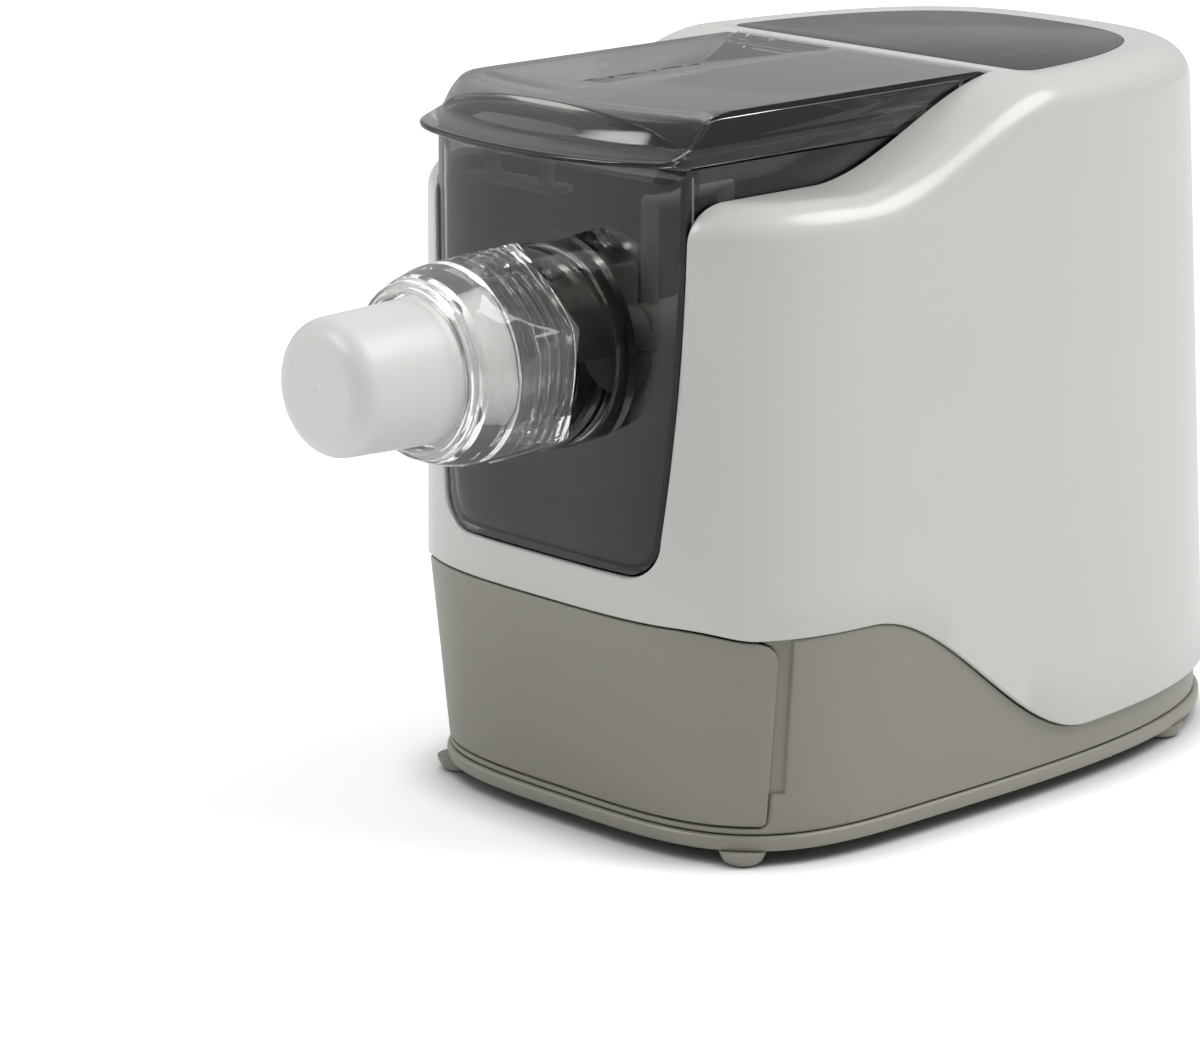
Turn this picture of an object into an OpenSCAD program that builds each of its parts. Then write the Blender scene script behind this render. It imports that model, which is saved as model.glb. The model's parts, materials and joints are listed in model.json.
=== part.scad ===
// Electric pasta maker with a smoked mixing chamber, a screw-on die, a hinged lid and a
// storage drawer. Millimetres, +Z up, the nozzle points along -Y. The origin is on the
// table, under the middle of the whole machine.

/* [Body] */
// Height from the table to the top face
body_h = 280; // [265:1:310]
// Half width of the white shell at its seam
shell_w = 104.5; // [102:0.5:112]
// Depth of the shell in front of the plan centre, at the seam
shell_front = 109; // [106:0.5:114]
// Depth of the shell behind the plan centre, at the seam
shell_rear = 211; // [205:0.5:218]
// How much the shell narrows on each side up to its top
side_draft = 0.5; // [0:0.1:2]
// How much the front leans back up to its top
front_draft = 1.5; // [0:0.1:4]
// How much the back leans forward up to its top
rear_draft = 14; // [8:0.5:18]
// Wall of the white shell
shell_t = 3; // [2.4:0.1:3.5]
// Radius of the roll between the walls and the top
roll_r = 14; // [8:0.5:18]
// How far the shoulders beside the chamber lie below the top
shoulder_drop = 32; // [24:0.5:40]
// Where the shoulders start to rise, from the plan centre
rise_start = -37.5; // [-50:0.5:-20]
// Where the shoulders reach the top, from the plan centre
rise_end = 64.5; // [60:0.5:80]
// Height of the seam between shell and lower housing at the front
seam_front_z = 88; // [84:0.5:96]
// Height of the same seam at the back
seam_rear_z = 24.5; // [22:0.5:40]
// How much higher the seam runs across the very front
seam_bow = 3.5; // [0:0.5:6]
// Where that bow starts on the sides, in front of the plan centre
bow_start = 84; // [80:0.5:88]
// Where the seam starts to fall, from the plan centre
fall_start = -37.5; // [-50:0.5:-20]
// Where the seam has reached its low level, from the plan centre
fall_end = 85.5; // [70:0.5:110]

/* [Base] */
// How far the base lip stays inside the shell's side at the seam
lip_side = 2; // [0:0.5:3.5]
// How far the base lip stays behind the shell's front at the seam
lip_set = 9; // [1:0.5:11]
// How far the base lip stands out behind the shell's back
lip_out = 6; // [1:0.5:15]
// Thickness of the base plate
base_t = 3; // [2.5:0.1:4]
// Height of the lip band
lip_h = 6.5; // [5.5:0.1:8]
// Width of the raised rim of the base plate
rim_w = 7; // [5:0.5:9]
// Height of the rubber feet
foot_h = 5.5; // [4:0.1:8]
// Radius of a foot
foot_r = 9; // [7:0.5:12]
// Side distance of the feet from the middle
foot_x = 79.4; // [70:0.5:82]
// Front feet, behind the plan centre
foot_front = -80.3; // [-84:0.5:-70]
// Rear feet, behind the plan centre
foot_rear = 156.4; // [140:0.5:165]
// Wall of the lower housing
housing_t = 3; // [2.4:0.1:3.5]
// How far the housing stands back from the lip at the front and sides
housing_step = 1.2; // [0.8:0.1:2]
// How far the housing stands back from the lip at the back
housing_step_rear = 3; // [2:0.1:5]
// How far the housing stands back from the shell at the seam
seam_step = 0.8; // [0.4:0.1:1.5]
// Parting gap between shell, housing and drawer
seam_gap = 0.8; // [0.4:0.1:1.2]

/* [Chamber] */
// Half width of the chamber front at its top
window_w = 67.5; // [64:0.5:70]
// How much narrower it is on each side at the bottom corners
window_taper = 9; // [6:0.5:12]
// Height of the lower edge of the chamber front
window_z = 108.5; // [104:0.5:112]
// Corner radius of the chamber front
window_r = 15; // [10:0.5:18]
// Running gap around the chamber in its bay
bay_gap = 0.8; // [0.5:0.1:1.2]
// How far the front panel lies behind the shell's face
panel_recess = 0.8; // [0.4:0.1:2]
// Thickness of the smoked plastic of the chamber
smoke_t = 2.6; // [2:0.1:3.2]
// Depth of the drive axis below the top face
drive_drop = 92.5; // [89:0.5:96]
// Inside radius of the mixing trough
trough_r = 55; // [52:0.5:58]
// Distance of the bulkhead behind the plan centre
bulkhead_y = 48.5; // [44:0.5:50]
// Front edge of the tub, in front of the plan centre
tub_front = 95.5; // [90:0.5:97]
// Thickness of the bay liner
liner_t = 2; // [1.6:0.1:2.6]
// Thickness of the bulkhead
bulkhead_t = 4; // [3:0.5:5]

/* [Nozzle] */
// From the front of the base lip to the front of the die
nozzle_reach = 116; // [112:0.5:122]
// Bore of the extrusion tube
tube_bore_r = 26; // [24:0.5:27]
// Outside radius of the tube between its thread ridges
tube_r = 32; // [31:0.25:32.5]
// Height of a thread ridge
ridge_h = 2; // [1:0.1:2.2]
// Pitch of the thread
thread_pitch = 4.5; // [4:0.1:6]
// Length of the threaded end
thread_l = 24; // [18:0.5:26]
// Length of the die in front of its flange
die_l = 52.5; // [48:0.5:60]
// Radius of the die near its front
die_r = 25.6; // [24:0.1:27]
// Radius of the die at its flange
die_root_r = 27.6; // [27:0.1:30]
// Edge radius of the die's front
die_edge_r = 9; // [5:0.5:11]
// Wall of the die
die_t = 3; // [2:0.1:4]
// Radius of the die's flange
flange_r = 32.3; // [31:0.1:33]
// Thickness of the die's flange
flange_t = 13.5; // [10:0.5:15]
// Length of one noodle slot in the die's underside
slot_l = 5; // [4:0.1:5.4]
// Width of one noodle slot
slot_w = 1.6; // [1:0.1:2.4]
// Slots in one row
slot_count = 6; // [4:1:6]
// Distance of the slots in a row
slot_pitch = 6.2; // [6:0.1:6.8]
// Radial play between the nut and what is in it
nut_play = 0.7; // [0.5:0.1:1]
// Outside radius of the nut's rear rim
nut_r = 42.2; // [41:0.1:43]
// Outside radius of the nut's front ring
nut_nose_r = 33; // [32:0.25:35]
// Length of the front ring of the nut
nut_nose_l = 8; // [6:0.5:10]
// Half the nut's width across the flats of its grip
grip_flat = 36.8; // [36.4:0.1:38]

/* [Lid] */
// Height of the lid's side walls
lid_h = 19; // [17:0.5:22]
// Thickness of the lid
lid_t = 2.5; // [2:0.1:3]
// Rear edge of the lid, behind the plan centre
lid_rear = 59; // [57:0.5:60]
// Front edge of the flat top at the sides, in front of the plan centre
lid_front = 90; // [86:0.5:94]
// How much the front edge bows forward in the middle
lid_bow = 15; // [8:0.5:20]
// How far the pouring lip reaches forward of the flat top
lid_lip = 24; // [20:0.5:28]
// Gap between lid and chamber
lid_gap = 0.6; // [0.4:0.1:1]
// Depth of the pouring well
well_depth = 4.8; // [3:0.1:6]
// Radius of the hinge pins
pin_r = 1.25; // [1:0.05:1.4]
// Distance of the hinge axis from the lid's top
hinge_drop = 8; // [7.5:0.1:9]

/* [Control panel] */
// Room between the touch panel and the shell's side
panel_side = 23; // [20.5:0.5:28.5]
// Front edge of the touch panel, behind the plan centre
panel_front = 66.5; // [65:0.5:72]
// Room between the touch panel and the shell's back
panel_back = 41.5; // [39:0.5:51]
// Thickness of the touch panel
panel_t = 1.6; // [1:0.1:2]
// Ledge that carries the panel
panel_ledge = 5; // [3:0.5:8]

/* [Drive] */
// Module of the second gear stage
module_out = 1.75; // [1.6:0.05:1.8]
// Teeth of the output gear
teeth_out = 54; // [52:2:54]
// Module of the first gear stage
module_in = 1.25; // [1.2:0.05:1.3]
// Teeth of the large first-stage gear
teeth_in = 70; // [66:2:70]
// Teeth of either pinion
teeth_pinion = 14; // [14:1:15]
// Face width of the output gear
face_out = 10; // [8:0.5:11]
// Face width of the first-stage gear
face_in = 7; // [6:0.5:8]
// Radius of the spindle nose
nose_r = 10; // [9.5:0.1:10.5]
// Width across corners of the drive hexagon, halved
hex_r = 6; // [5.5:0.1:6.2]
// Play of the hexagon in its socket
hex_play = 0.35; // [0.3:0.05:0.5]
// Radial play of a shaft in its bush
bush_play = 0.05; // [0.02:0.01:0.08]
// Radius of the layshaft
lay_r = 4; // [3.5:0.1:4.5]
// Radius of the motor
motor_r = 33; // [30:0.5:35]
// Distance of the motor can's back end from the shell's back
motor_set = 46.5; // [40:0.5:52]
// Radius of the motor shaft
motor_shaft_r = 3; // [2.5:0.1:3.4]
// Wall of the motor can
can_t = 1.5; // [1:0.1:2]
// Wall of the gearbox
case_t = 3; // [2.5:0.1:3.5]
// Inside depth of the gearbox
case_l = 35; // [34:0.5:38]
// Thickness of the gearbox cover
cover_t = 4; // [3:0.5:5]

/* [Drawer] */
// Front edge of the side part of the drawer front, in front of the plan centre
drawer_edge = 76.5; // [72:0.5:80]
// Height of the lower edge of the drawer front
drawer_z = 15; // [14:0.1:18]
// Room between the tray and the shell's side
tray_side = 26.5; // [24.5:0.5:34.5]
// Depth of the tray
tray_l = 104; // [95:1:106]
// Height of the tray
tray_h = 58; // [50:1:60]
// Wall of the tray
tray_t = 2; // [1.5:0.1:3]
// Corner radius of the drawer front's upper side corners
drawer_r = 8; // [4:0.5:12]

/* [Hidden] */

$fn = 48;
eps = 0.01;          // lets cutters pass a face cleanly
far = 400;           // longer than anything it cuts

// Colours
white_c = [0.85, 0.85, 0.83];
taupe_c = [0.55, 0.54, 0.49];
smoke_c = [0.25, 0.25, 0.24, 0.6];
clear_c = [0.85, 0.87, 0.87, 0.4];
die_c = [0.93, 0.93, 0.91];
dark_c = [0.18, 0.18, 0.18];
steel_c = [0.7, 0.7, 0.72];
brass_c = [0.8, 0.65, 0.35];
rubber_c = [0.12, 0.12, 0.12];
board_c = [0.1, 0.35, 0.2];

// Plan: one superellipse in front of the centre line and one behind it
front_n = 3.6;
rear_n = 3.0;
plan_steps = 20;     // points on a quarter of a plan outline

// Sizes that follow the body
lip_w = shell_w - lip_side;
lip_front = shell_front - lip_set;
lip_rear = shell_rear + lip_out;
drive_z = body_h - drive_drop;
tray_w = shell_w - tray_side;
panel_w = shell_w - panel_side;
panel_rear = shell_rear - panel_back;

total_d = nozzle_reach + lip_front + lip_rear;
plan_y = lip_front + nozzle_reach - total_d / 2;
plan_angles = [for (i = [0:4 * plan_steps - 1]) i * 90 / plan_steps];

// Heights
base_top = foot_h + base_t;
lip_top = foot_h + lip_h;
draft_z0 = seam_front_z;
draft_z1 = body_h - 30;
top_t = shell_t + 0.5;

// Chamber and lid
chamber_top = body_h - lid_h - lid_gap / 2;
lid_bottom = body_h - lid_h + lid_gap / 2;
bay_w = window_w + bay_gap;
bulkhead_front = plan_y + bulkhead_y;
bulkhead_back = bulkhead_front + bulkhead_t;
tub_back = bulkhead_front - 2.5;
tub_face = plan_y - tub_front;
lid_back = plan_y + lid_rear;
bay_back = lid_back + 1;
hinge_y = lid_back - 6.5;
hinge_z = body_h - hinge_drop;

// Nozzle, from the front of the die backwards
die_face = -total_d / 2;
flange_front = die_face + die_l;
flange_back = flange_front + flange_t;
tube_end = flange_back + 0.4;
nut_nose = flange_front - 0.3 - nut_nose_l;
nut_back = tube_end + thread_l;
thread_crest_r = tube_r + ridge_h;
nut_bore_r = thread_crest_r + nut_play;
collar_r = thread_crest_r + 4;
collar_front = nut_back + 0.5;
tube_flange_r = collar_r + 5;
tube_flange_t = 3.5;

// Drive train, stacked downwards from the drive axis
pitch_out = module_out * teeth_out / 2;
pitch_lay = module_out * teeth_pinion / 2;
pitch_in = module_in * teeth_in / 2;
pitch_motor = module_in * teeth_pinion / 2;
lay_z = drive_z - pitch_out - pitch_lay;
motor_z = lay_z - pitch_in - pitch_motor;
case_front = bulkhead_back;
case_back = case_front + case_t + case_l;
cover_back = case_back + cover_t;
gear_out_y = case_front + case_t + 9;
gear_in_y = gear_out_y + face_out + 3;
can_back = plan_y + shell_rear - motor_set;
cap_t = 6;
shaft_back = can_back + cap_t + 16;
bush_wall = 3;
nose_front = bulkhead_front - 0.8;
nose_back = gear_out_y - 0.2;
spindle_r = 8;
journal_r = 6;

// Drawer
tray_z = drawer_z + 1.8;
tray_front = plan_y - 89.5;
tray_back = tray_front + tray_l;
rail_play = 0.4;

// ---------------------------------------------------------------- shape functions

function smooth(t) = let (c = max(0, min(1, t))) c * c * (3 - 2 * c);

// Height of the top face over the depth: low shoulders in front, full height behind
function shoulder(y) = body_h - shoulder_drop
    * (1 - smooth((y - plan_y - rise_start) / (rise_end - rise_start)));

// Height of the wavy seam over the depth
function seam(y) = seam_rear_z
    + (seam_front_z - seam_rear_z) * (1 - smooth((y - plan_y - fall_start) / (fall_end - fall_start)))
    + seam_bow * smooth((plan_y - bow_start - y) / 18);

// Point of a plan outline with half width w and depths f in front and r behind
function plan(t, w, f, r) =
    let (c = cos(t), s = sin(t), n = s < 0 ? front_n : rear_n,
         q = pow(pow(abs(c), n) + pow(abs(s), n), 1 / n))
    [w * c / q, plan_y + (s < 0 ? f : r) * s / q];

function outline(w, f, r) = [for (t = plan_angles) plan(t, w, f, r)];

// Share of the draft at a height
function draft(z) = (z - draft_z0) / (draft_z1 - draft_z0);

// Point of the shell's skin at height z, moved inwards by inset
function shell_point(t, z, inset) =
    plan(t, shell_w - side_draft * draft(z) - inset,
         shell_front - front_draft * draft(z) - inset,
         shell_rear - rear_draft * draft(z) - inset);

// Level ring of the skin
function shell_slice(z, inset) =
    [for (t = plan_angles) let (p = shell_point(t, z, inset)) [p[0], p[1], z]];

// Rings of the shell's skin: seam, wall, then the roll onto the top
roll_steps = 6;
function seam_ring(inset, z_fit) =
    [for (t = plan_angles) let (z = seam(shell_point(t, draft_z0, inset)[1]),
        p = shell_point(t, z, inset)) [p[0], p[1], seam(p[1]) + z_fit]];
function roll_ring(a, inset, drop, r) =
    [for (t = plan_angles) let (d = inset + r * (1 - cos(a)), h = drop + r * (1 - sin(a)),
        z = shoulder(shell_point(t, draft_z1, d)[1]) - h, p = shell_point(t, z, d))
        [p[0], p[1], shoulder(p[1]) - h]];
function shell_rings(inset, drop, r) = concat([seam_ring(inset, 0)],
    [for (i = [0:roll_steps]) roll_ring(90 * i / roll_steps, inset, drop, r)]);

// Points of the housing's skin between the lip and the seam
function housing_point(t, z, inset) =
    let (k = (z - lip_top) / (seam_front_z - lip_top))
    plan(t, (lip_w - housing_step) * (1 - k) + (shell_w - seam_step) * k - inset,
         (lip_front - housing_step) * (1 - k) + (shell_front - seam_step) * k - inset,
         lip_rear - housing_step_rear - inset);
function housing_top(inset, down) =
    [for (t = plan_angles) let (z = seam(housing_point(t, seam_front_z, inset)[1]) - down,
        p = housing_point(t, z, inset)) [p[0], p[1], seam(p[1]) - down]];
function housing_foot(z, inset) =
    [for (t = plan_angles) let (p = housing_point(t, z, inset)) [p[0], p[1], z]];

// ---------------------------------------------------------------- mesh helpers

function flatten(lists) = [for (l = lists) for (p = l) p];

// Quads between ring a and ring b, which start at those point numbers
function band(a, b, n) = [for (i = [0:n - 1]) let (j = (i + 1) % n) [a + i, b + i, b + j, a + j]];

// Strips across a ring whose left and right halves mirror each other
function cap_up(a, n) = let (q = n / 4)
    concat([for (i = [-q + 1:q - 2]) let (r0 = (i + n) % n, r1 = (i + 1 + n) % n,
        l0 = (n / 2 - i + n) % n, l1 = (n / 2 - i - 1 + n) % n) [a + r0, a + l0, a + l1, a + r1]],
        [[a + (3 * q) % n, a + 3 * q - 1, a + (3 * q + 1) % n], [a + q, a + q - 1, a + q + 1]]);
function flip(faces) = [for (f = faces) [for (i = [len(f) - 1:-1:0]) f[i]]];

// Solid between a stack of outer rings and a stack of inner rings, open at the bottom
module hollow_skin(outer, inner) {
    n = len(plan_angles);
    m = len(outer);
    k = m * n;
    polyhedron(points = concat(flatten(outer), flatten(inner)),
        faces = concat(
            flatten([for (i = [0:m - 2]) band(i * n, (i + 1) * n, n)]),
            flip(flatten([for (i = [0:m - 2]) band(k + i * n, k + (i + 1) * n, n)])),
            band(k, 0, n), cap_up((m - 1) * n, n), flip(cap_up(k + (m - 1) * n, n))),
        convexity = 6);
}

// Tube-like wall between two outer and two inner rings, open above and below
module wall_skin(outer_low, outer_high, inner_low, inner_high) {
    n = len(plan_angles);
    polyhedron(points = concat(outer_low, outer_high, inner_low, inner_high),
        faces = concat(band(0, n, n), band(n, 3 * n, n), band(3 * n, 2 * n, n), band(2 * n, 0, n)),
        convexity = 6);
}

// Closed solid between two rings, with flat ends made of strips
module solid_skin(low, high) {
    n = len(plan_angles);
    polyhedron(points = concat(low, high),
        faces = concat(band(0, n, n), flip(cap_up(0, n)), cap_up(n, n)), convexity = 4);
}

// Solid through a row of upright profiles along X. Each profile runs clockwise seen from +X,
// first along its upper or front side, then back along the other side in as many points.
module column_skin(columns) {
    m = len(columns[0]);
    e = (len(columns) - 1) * m;
    polyhedron(points = flatten(columns),
        faces = concat(
            flatten([for (a = [0:m:e - 1]) flatten([for (j = [0:m - 1]) let (k = (j + 1) % m)
                [[a + j, a + k, a + m + k], [a + j, a + m + k, a + m + j]]])]),
            [for (j = [0:m / 2 - 2]) [m - 1 - j, m - 2 - j, j + 1, j]],
            [for (j = [0:m / 2 - 2]) [e + j, e + j + 1, e + m - 2 - j, e + m - 1 - j]]),
        convexity = 6);
}

// Extrudes an outline drawn in X and Z along Y, from y0 to y1
module along_y(y0, y1) {
    translate([0, y1, 0]) rotate([90, 0, 0]) linear_extrude(y1 - y0) children();
}

// Extrudes an outline drawn in Y and Z along X, from -w to w
module along_x(w) {
    translate([-w, 0, 0]) rotate([90, 0, 90]) linear_extrude(2 * w) children();
}

module rod_y(r, y0, y1, x = 0, z = drive_z) {
    translate([x, y1, z]) rotate([90, 0, 0]) cylinder(r = r, h = y1 - y0);
}

module ring_y(r0, r1, y0, y1, x = 0, z = drive_z) {
    difference() {
        rod_y(r1, y0, y1, x, z);
        rod_y(r0, y0 - 1, y1 + 1, x, z);
    }
}

// Turns a profile of [radius, y] points about the line along Y at height z
module turned_y(profile, z = drive_z, y = 0) {
    translate([0, y, z]) rotate([-90, 0, 0]) rotate_extrude() polygon(profile);
}

module box(lo, hi) {
    translate(lo) cube(hi - lo);
}

// ---------------------------------------------------------------- chamber outline

window_top = chamber_top + 60;
function window_half(z) = window_w
    - window_taper * pow(max(0, (body_h - 25 - z) / (body_h - 25 - window_z - window_r)), 2.2);
window_heights = [for (i = [0:9]) window_z + window_r + i * (body_h - 25 - window_z - window_r) / 9];
corner_x = window_half(window_z + window_r) - window_r;

// Outline of the chamber front in X and Z, grown outwards by g
function window_side(g) = concat(
    [for (a = [-90:15:-1])
        [corner_x + (window_r + g) * cos(a), window_z + window_r + (window_r + g) * sin(a)]],
    [for (z = window_heights) [window_half(z) + g, z]]);
function window_outline(g, top) = let (s = concat(window_side(g), [[window_w + g, top]]))
    concat(s, [for (i = [len(s) - 1:-1:0]) [-s[i][0], s[i][1]]]);

// ---------------------------------------------------------------- shell and base

module bay_cut() {
    along_y(-far, bay_back) polygon(window_outline(bay_gap, body_h + 20));
}

function panel_points(g) = let (w = panel_w + g, r = panel_rear + g, y0 = plan_y + panel_front - g,
        edge_r = 6 + g, q = pow(1 - pow((y0 + edge_r - plan_y) / r, rear_n), 1 / rear_n) * w)
    concat(
        [for (a = [-90:15:0]) [q - edge_r * (1 - cos(a)), y0 + edge_r * (1 + sin(a))]],
        [for (i = [1:11]) let (y = y0 + edge_r + (plan_y + r - y0 - edge_r) * sin(i * 90 / 12))
            [w * pow(max(0, 1 - pow((y - plan_y) / r, rear_n)), 1 / rear_n), y]]);
function mirrored(side) = concat(side, [for (i = [len(side) - 1:-1:0]) [-side[i][0], side[i][1]]]);

inlet_z = 52;
inlet_w = 28;
inlet_h = 20.5;
inlet_face = plan_y + shell_rear - rear_draft * draft(inlet_z + inlet_h / 2 + 2) - 0.4;
vent_pitch = 6;
vent_w = 2.6;

module upper_shell() {
    color(white_c)
    difference() {
        union() {
            hollow_skin(shell_rings(0, 0, roll_r), shell_rings(shell_t, top_t, roll_r - shell_t));
            intersection() {
                box([-inlet_w / 2 - 6, plan_y + 150, inlet_z - inlet_h / 2 - 6],
                    [inlet_w / 2 + 6, plan_y + far, inlet_z + inlet_h / 2 + 6]);
                difference() {
                    solid_skin(shell_slice(inlet_z - 30, 1), shell_slice(inlet_z + 30, 1));
                    box([-50, plan_y, 0], [50, inlet_face - 6, 120]);
                }
            }
        }
        bay_cut();
        // seat of the touch panel
        translate([0, 0, body_h - panel_t]) linear_extrude(panel_t + 1)
            polygon(mirrored(panel_points(0.25)));
        translate([0, 0, body_h - top_t - 1]) linear_extrude(top_t + 2)
            polygon(mirrored(panel_points(-panel_ledge)));
        // power inlet
        box([-inlet_w / 2 - 3.2, inlet_face - 2, inlet_z - inlet_h / 2 - 3.2],
            [inlet_w / 2 + 3.2, plan_y + far, inlet_z + inlet_h / 2 + 3.2]);
        box([-inlet_w / 2 - 0.2, plan_y + 150, inlet_z - inlet_h / 2 - 0.2],
            [inlet_w / 2 + 0.2, plan_y + far, inlet_z + inlet_h / 2 + 0.2]);
        // louvres behind the fan
        for (i = [-5:5])
            translate([i * vent_pitch - vent_w / 2, plan_y + 170, inlet_z + inlet_h / 2 + 14])
                cube([vent_w, far, 30]);
    }
}

drawer_side = plan_y - drawer_edge;
drawer_corner = seam_front_z - seam_gap - drawer_r;
drawer_profile = concat([[-far, drawer_z], [drawer_side, drawer_z], [drawer_side, drawer_corner]],
    [for (a = [15:15:90]) [drawer_side - drawer_r + drawer_r * cos(a), drawer_corner + drawer_r * sin(a)]],
    [[drawer_side - drawer_r, far], [-far, far]]);

groove_y = drawer_side + 3.5;
groove_w = 3.4;
groove_depth = 1.8;
boss_x = lip_w - 8;
boss_ys = [plan_y - 48, plan_y + 40, plan_y + 105];
boss_top = seam_rear_z - 6;

module lower_housing() {
    color(taupe_c)
    difference() {
        union() {
            wall_skin(housing_foot(lip_top, 0), housing_top(0, 0.3),
                housing_foot(lip_top, housing_t), housing_top(housing_t, 0.3));
            for (sx = [-1, 1]) for (y = boss_ys)
                intersection() {
                    translate([sx * boss_x, y, lip_top]) cylinder(r = 5, h = boss_top - lip_top);
                    solid_skin(housing_foot(lip_top, 1), housing_foot(boss_top, 1));
                }
        }
        // open front for the drawer
        box([-far, -far, drawer_z - seam_gap], [far, drawer_side + seam_gap, far]);
        // finger grooves behind the drawer's side edges
        difference() {
            box([-far, groove_y - groove_w / 2, drawer_z + 13], [far, groove_y + groove_w / 2, far]);
            solid_skin(housing_foot(lip_top, groove_depth), housing_top(groove_depth, -9));
        }
        for (sx = [-1, 1]) for (y = boss_ys)
            translate([sx * boss_x, y, lip_top - 1]) cylinder(r = 1.6, h = boss_top - lip_top - 1);
    }
}

module base_plate() {
    color(taupe_c)
    difference() {
        union() {
            translate([0, 0, foot_h]) linear_extrude(base_t) polygon(outline(lip_w, lip_front, lip_rear));
            translate([0, 0, foot_h]) difference() {
                linear_extrude(lip_h) polygon(outline(lip_w, lip_front, lip_rear));
                translate([0, 0, base_t]) linear_extrude(lip_h)
                    polygon(outline(lip_w - rim_w, lip_front - rim_w, lip_rear - rim_w));
            }
            // slotted posts for the power board
            for (y = board_ys)
                box([board_x - 3, y - 3, base_top - 1], [board_x + board_t + 3, y + 3, base_top + 22]);
        }
        for (sx = [-1, 1]) for (y = boss_ys) {
            translate([sx * boss_x, y, 0]) cylinder(r = 1.9, h = 40);
            translate([sx * boss_x, y, 0]) cylinder(r = 3.6, h = foot_h + 2);
        }
        for (i = [-4:4])
            translate([i * 9 - 1.5, can_back - 10, 0]) cube([3, 40, 30]);
        box([board_x - 0.1, board_ys[0] - 1, base_top + 4], [board_x + board_t + 0.1, board_ys[1] + 1, 60]);
    }
}

module feet() {
    color(rubber_c)
    for (sx = [-1, 1]) for (y = [foot_front, foot_rear])
        translate([sx * foot_x, plan_y + y, 0]) cylinder(r1 = foot_r - 1, r2 = foot_r, h = foot_h);
}

module base_screws() {
    color(steel_c)
    for (sx = [-1, 1]) for (y = boss_ys)
        translate([sx * boss_x, y, foot_h]) {
            cylinder(r = 1.55, h = boss_top - foot_h - 3);
            translate([0, 0, 0.2]) cylinder(r = 3.2, h = 1.8);
        }
}

// ---------------------------------------------------------------- controls and electrics

module control_panel() {
    color(dark_c)
    translate([0, 0, body_h - panel_t]) linear_extrude(panel_t) polygon(mirrored(panel_points(0)));
}

touch_xs = [-48, -24, 0, 24, 48];
panel_board_z = body_h - top_t - 5;

module control_board() {
    color(board_c)
    union() {
        box([-60, plan_y + 78, panel_board_z - 1.6], [60, plan_y + 130, panel_board_z]);
        for (x = [-56, 56]) for (y = [82, 126])
            translate([x, plan_y + y, panel_board_z - eps]) cylinder(r = 2.5, h = 2.5);
        for (x = touch_xs)
            translate([x, plan_y + 104, panel_board_z - eps])
                cylinder(r = 4, h = body_h - panel_t - panel_board_z - 0.2);
    }
}

board_x = -68;
board_t = 1.6;
board_ys = [plan_y + 92, plan_y + 158];

module power_board() {
    color(board_c)
    union() {
        box([board_x, board_ys[0] - 0.5, base_top + 4], [board_x + board_t, board_ys[1] + 0.5, 100]);
        box([board_x + board_t - eps, plan_y + 100, 50], [board_x + board_t + 22, plan_y + 126, 80]);
        for (y = [136, 150])
            translate([board_x + board_t - eps, plan_y + y, 74]) rotate([0, 90, 0]) cylinder(r = 6, h = 20);
        box([board_x + board_t - eps, plan_y + 132, 40], [board_x + board_t + 12, plan_y + 154, 56]);
    }
}

module power_inlet() {
    depth = 24;
    color(dark_c)
    difference() {
        union() {
            box([-inlet_w / 2 - 3, inlet_face - 1.9, inlet_z - inlet_h / 2 - 3],
                [inlet_w / 2 + 3, inlet_face + 0.4, inlet_z + inlet_h / 2 + 3]);
            box([-inlet_w / 2, inlet_face - depth, inlet_z - inlet_h / 2],
                [inlet_w / 2, inlet_face, inlet_z + inlet_h / 2]);
        }
        difference() {
            box([-12, inlet_face - depth + 3, inlet_z - 8], [12, inlet_face + 5, inlet_z + 8]);
            for (x = [-7, 0, 7])
                box([x - 1, inlet_face - depth, inlet_z - 3 + (x == 0 ? 3 : 0)],
                    [x + 1, inlet_face - 5, inlet_z + 1 + (x == 0 ? 3 : 0)]);
        }
    }
}

reed_y = plan_y + 30;
module reed_switch() {
    color(dark_c)
    box([bay_w + liner_t + 0.1, reed_y, lid_bottom - 1.5],
        [bay_w + liner_t + 5, reed_y + 14, lid_bottom + 4.5]);
}

// ---------------------------------------------------------------- bay liner and gearbox

// Side view of the room under the shell's top, lower again where the shell rolls down in front
liner_room = 0.4;
liner_steps = 20;
liner_front = tub_face + 12;
function liner_limit() = let (y0 = plan_y + rise_start, y1 = bay_back + 8,
        low = body_h - shoulder_drop - top_t - liner_room)
    concat([[-far, 0], [y1, 0]],
        [for (i = [liner_steps:-1:0]) let (y = y0 + (y1 - y0) * i / liner_steps)
            [y, shoulder(y) - top_t - liner_room]],
        [[liner_front, low], [liner_front, low - 6], [-far, low - 6]]);
seal_r = nose_r + 5;

module bay_liner() {
    color(dark_c)
    intersection() {
        difference() {
            union() {
                along_y(tub_face + 1.5, bulkhead_back)
                    polygon(window_outline(bay_gap + liner_t, body_h));
                // frame round the lid's rear edge, with the hinge ears
                box([-bay_w - liner_t, bulkhead_front, lid_bottom - 3],
                    [bay_w + liner_t, bay_back + 5, body_h]);
                for (x = [-bay_w - 4, bay_w + 4])
                    box([x - 4, hinge_y - 5, lid_bottom - 3], [x + 4, hinge_y + 5, body_h]);
            }
            along_y(-far, bulkhead_front) polygon(window_outline(bay_gap, body_h + 20));
            box([-bay_w, -far, lid_bottom - 1], [bay_w, bay_back + 3, body_h + 1]);
            rod_y(seal_r + 0.1, 0, far);
            for (sx = [-1, 1])
                translate([sx * (bay_w + 4), hinge_y, hinge_z]) rotate([0, 90, 0])
                    cylinder(r = pin_r + bush_play, h = 20, center = true);
        }
        along_x(far) polygon(liner_limit());
    }
}

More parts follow.
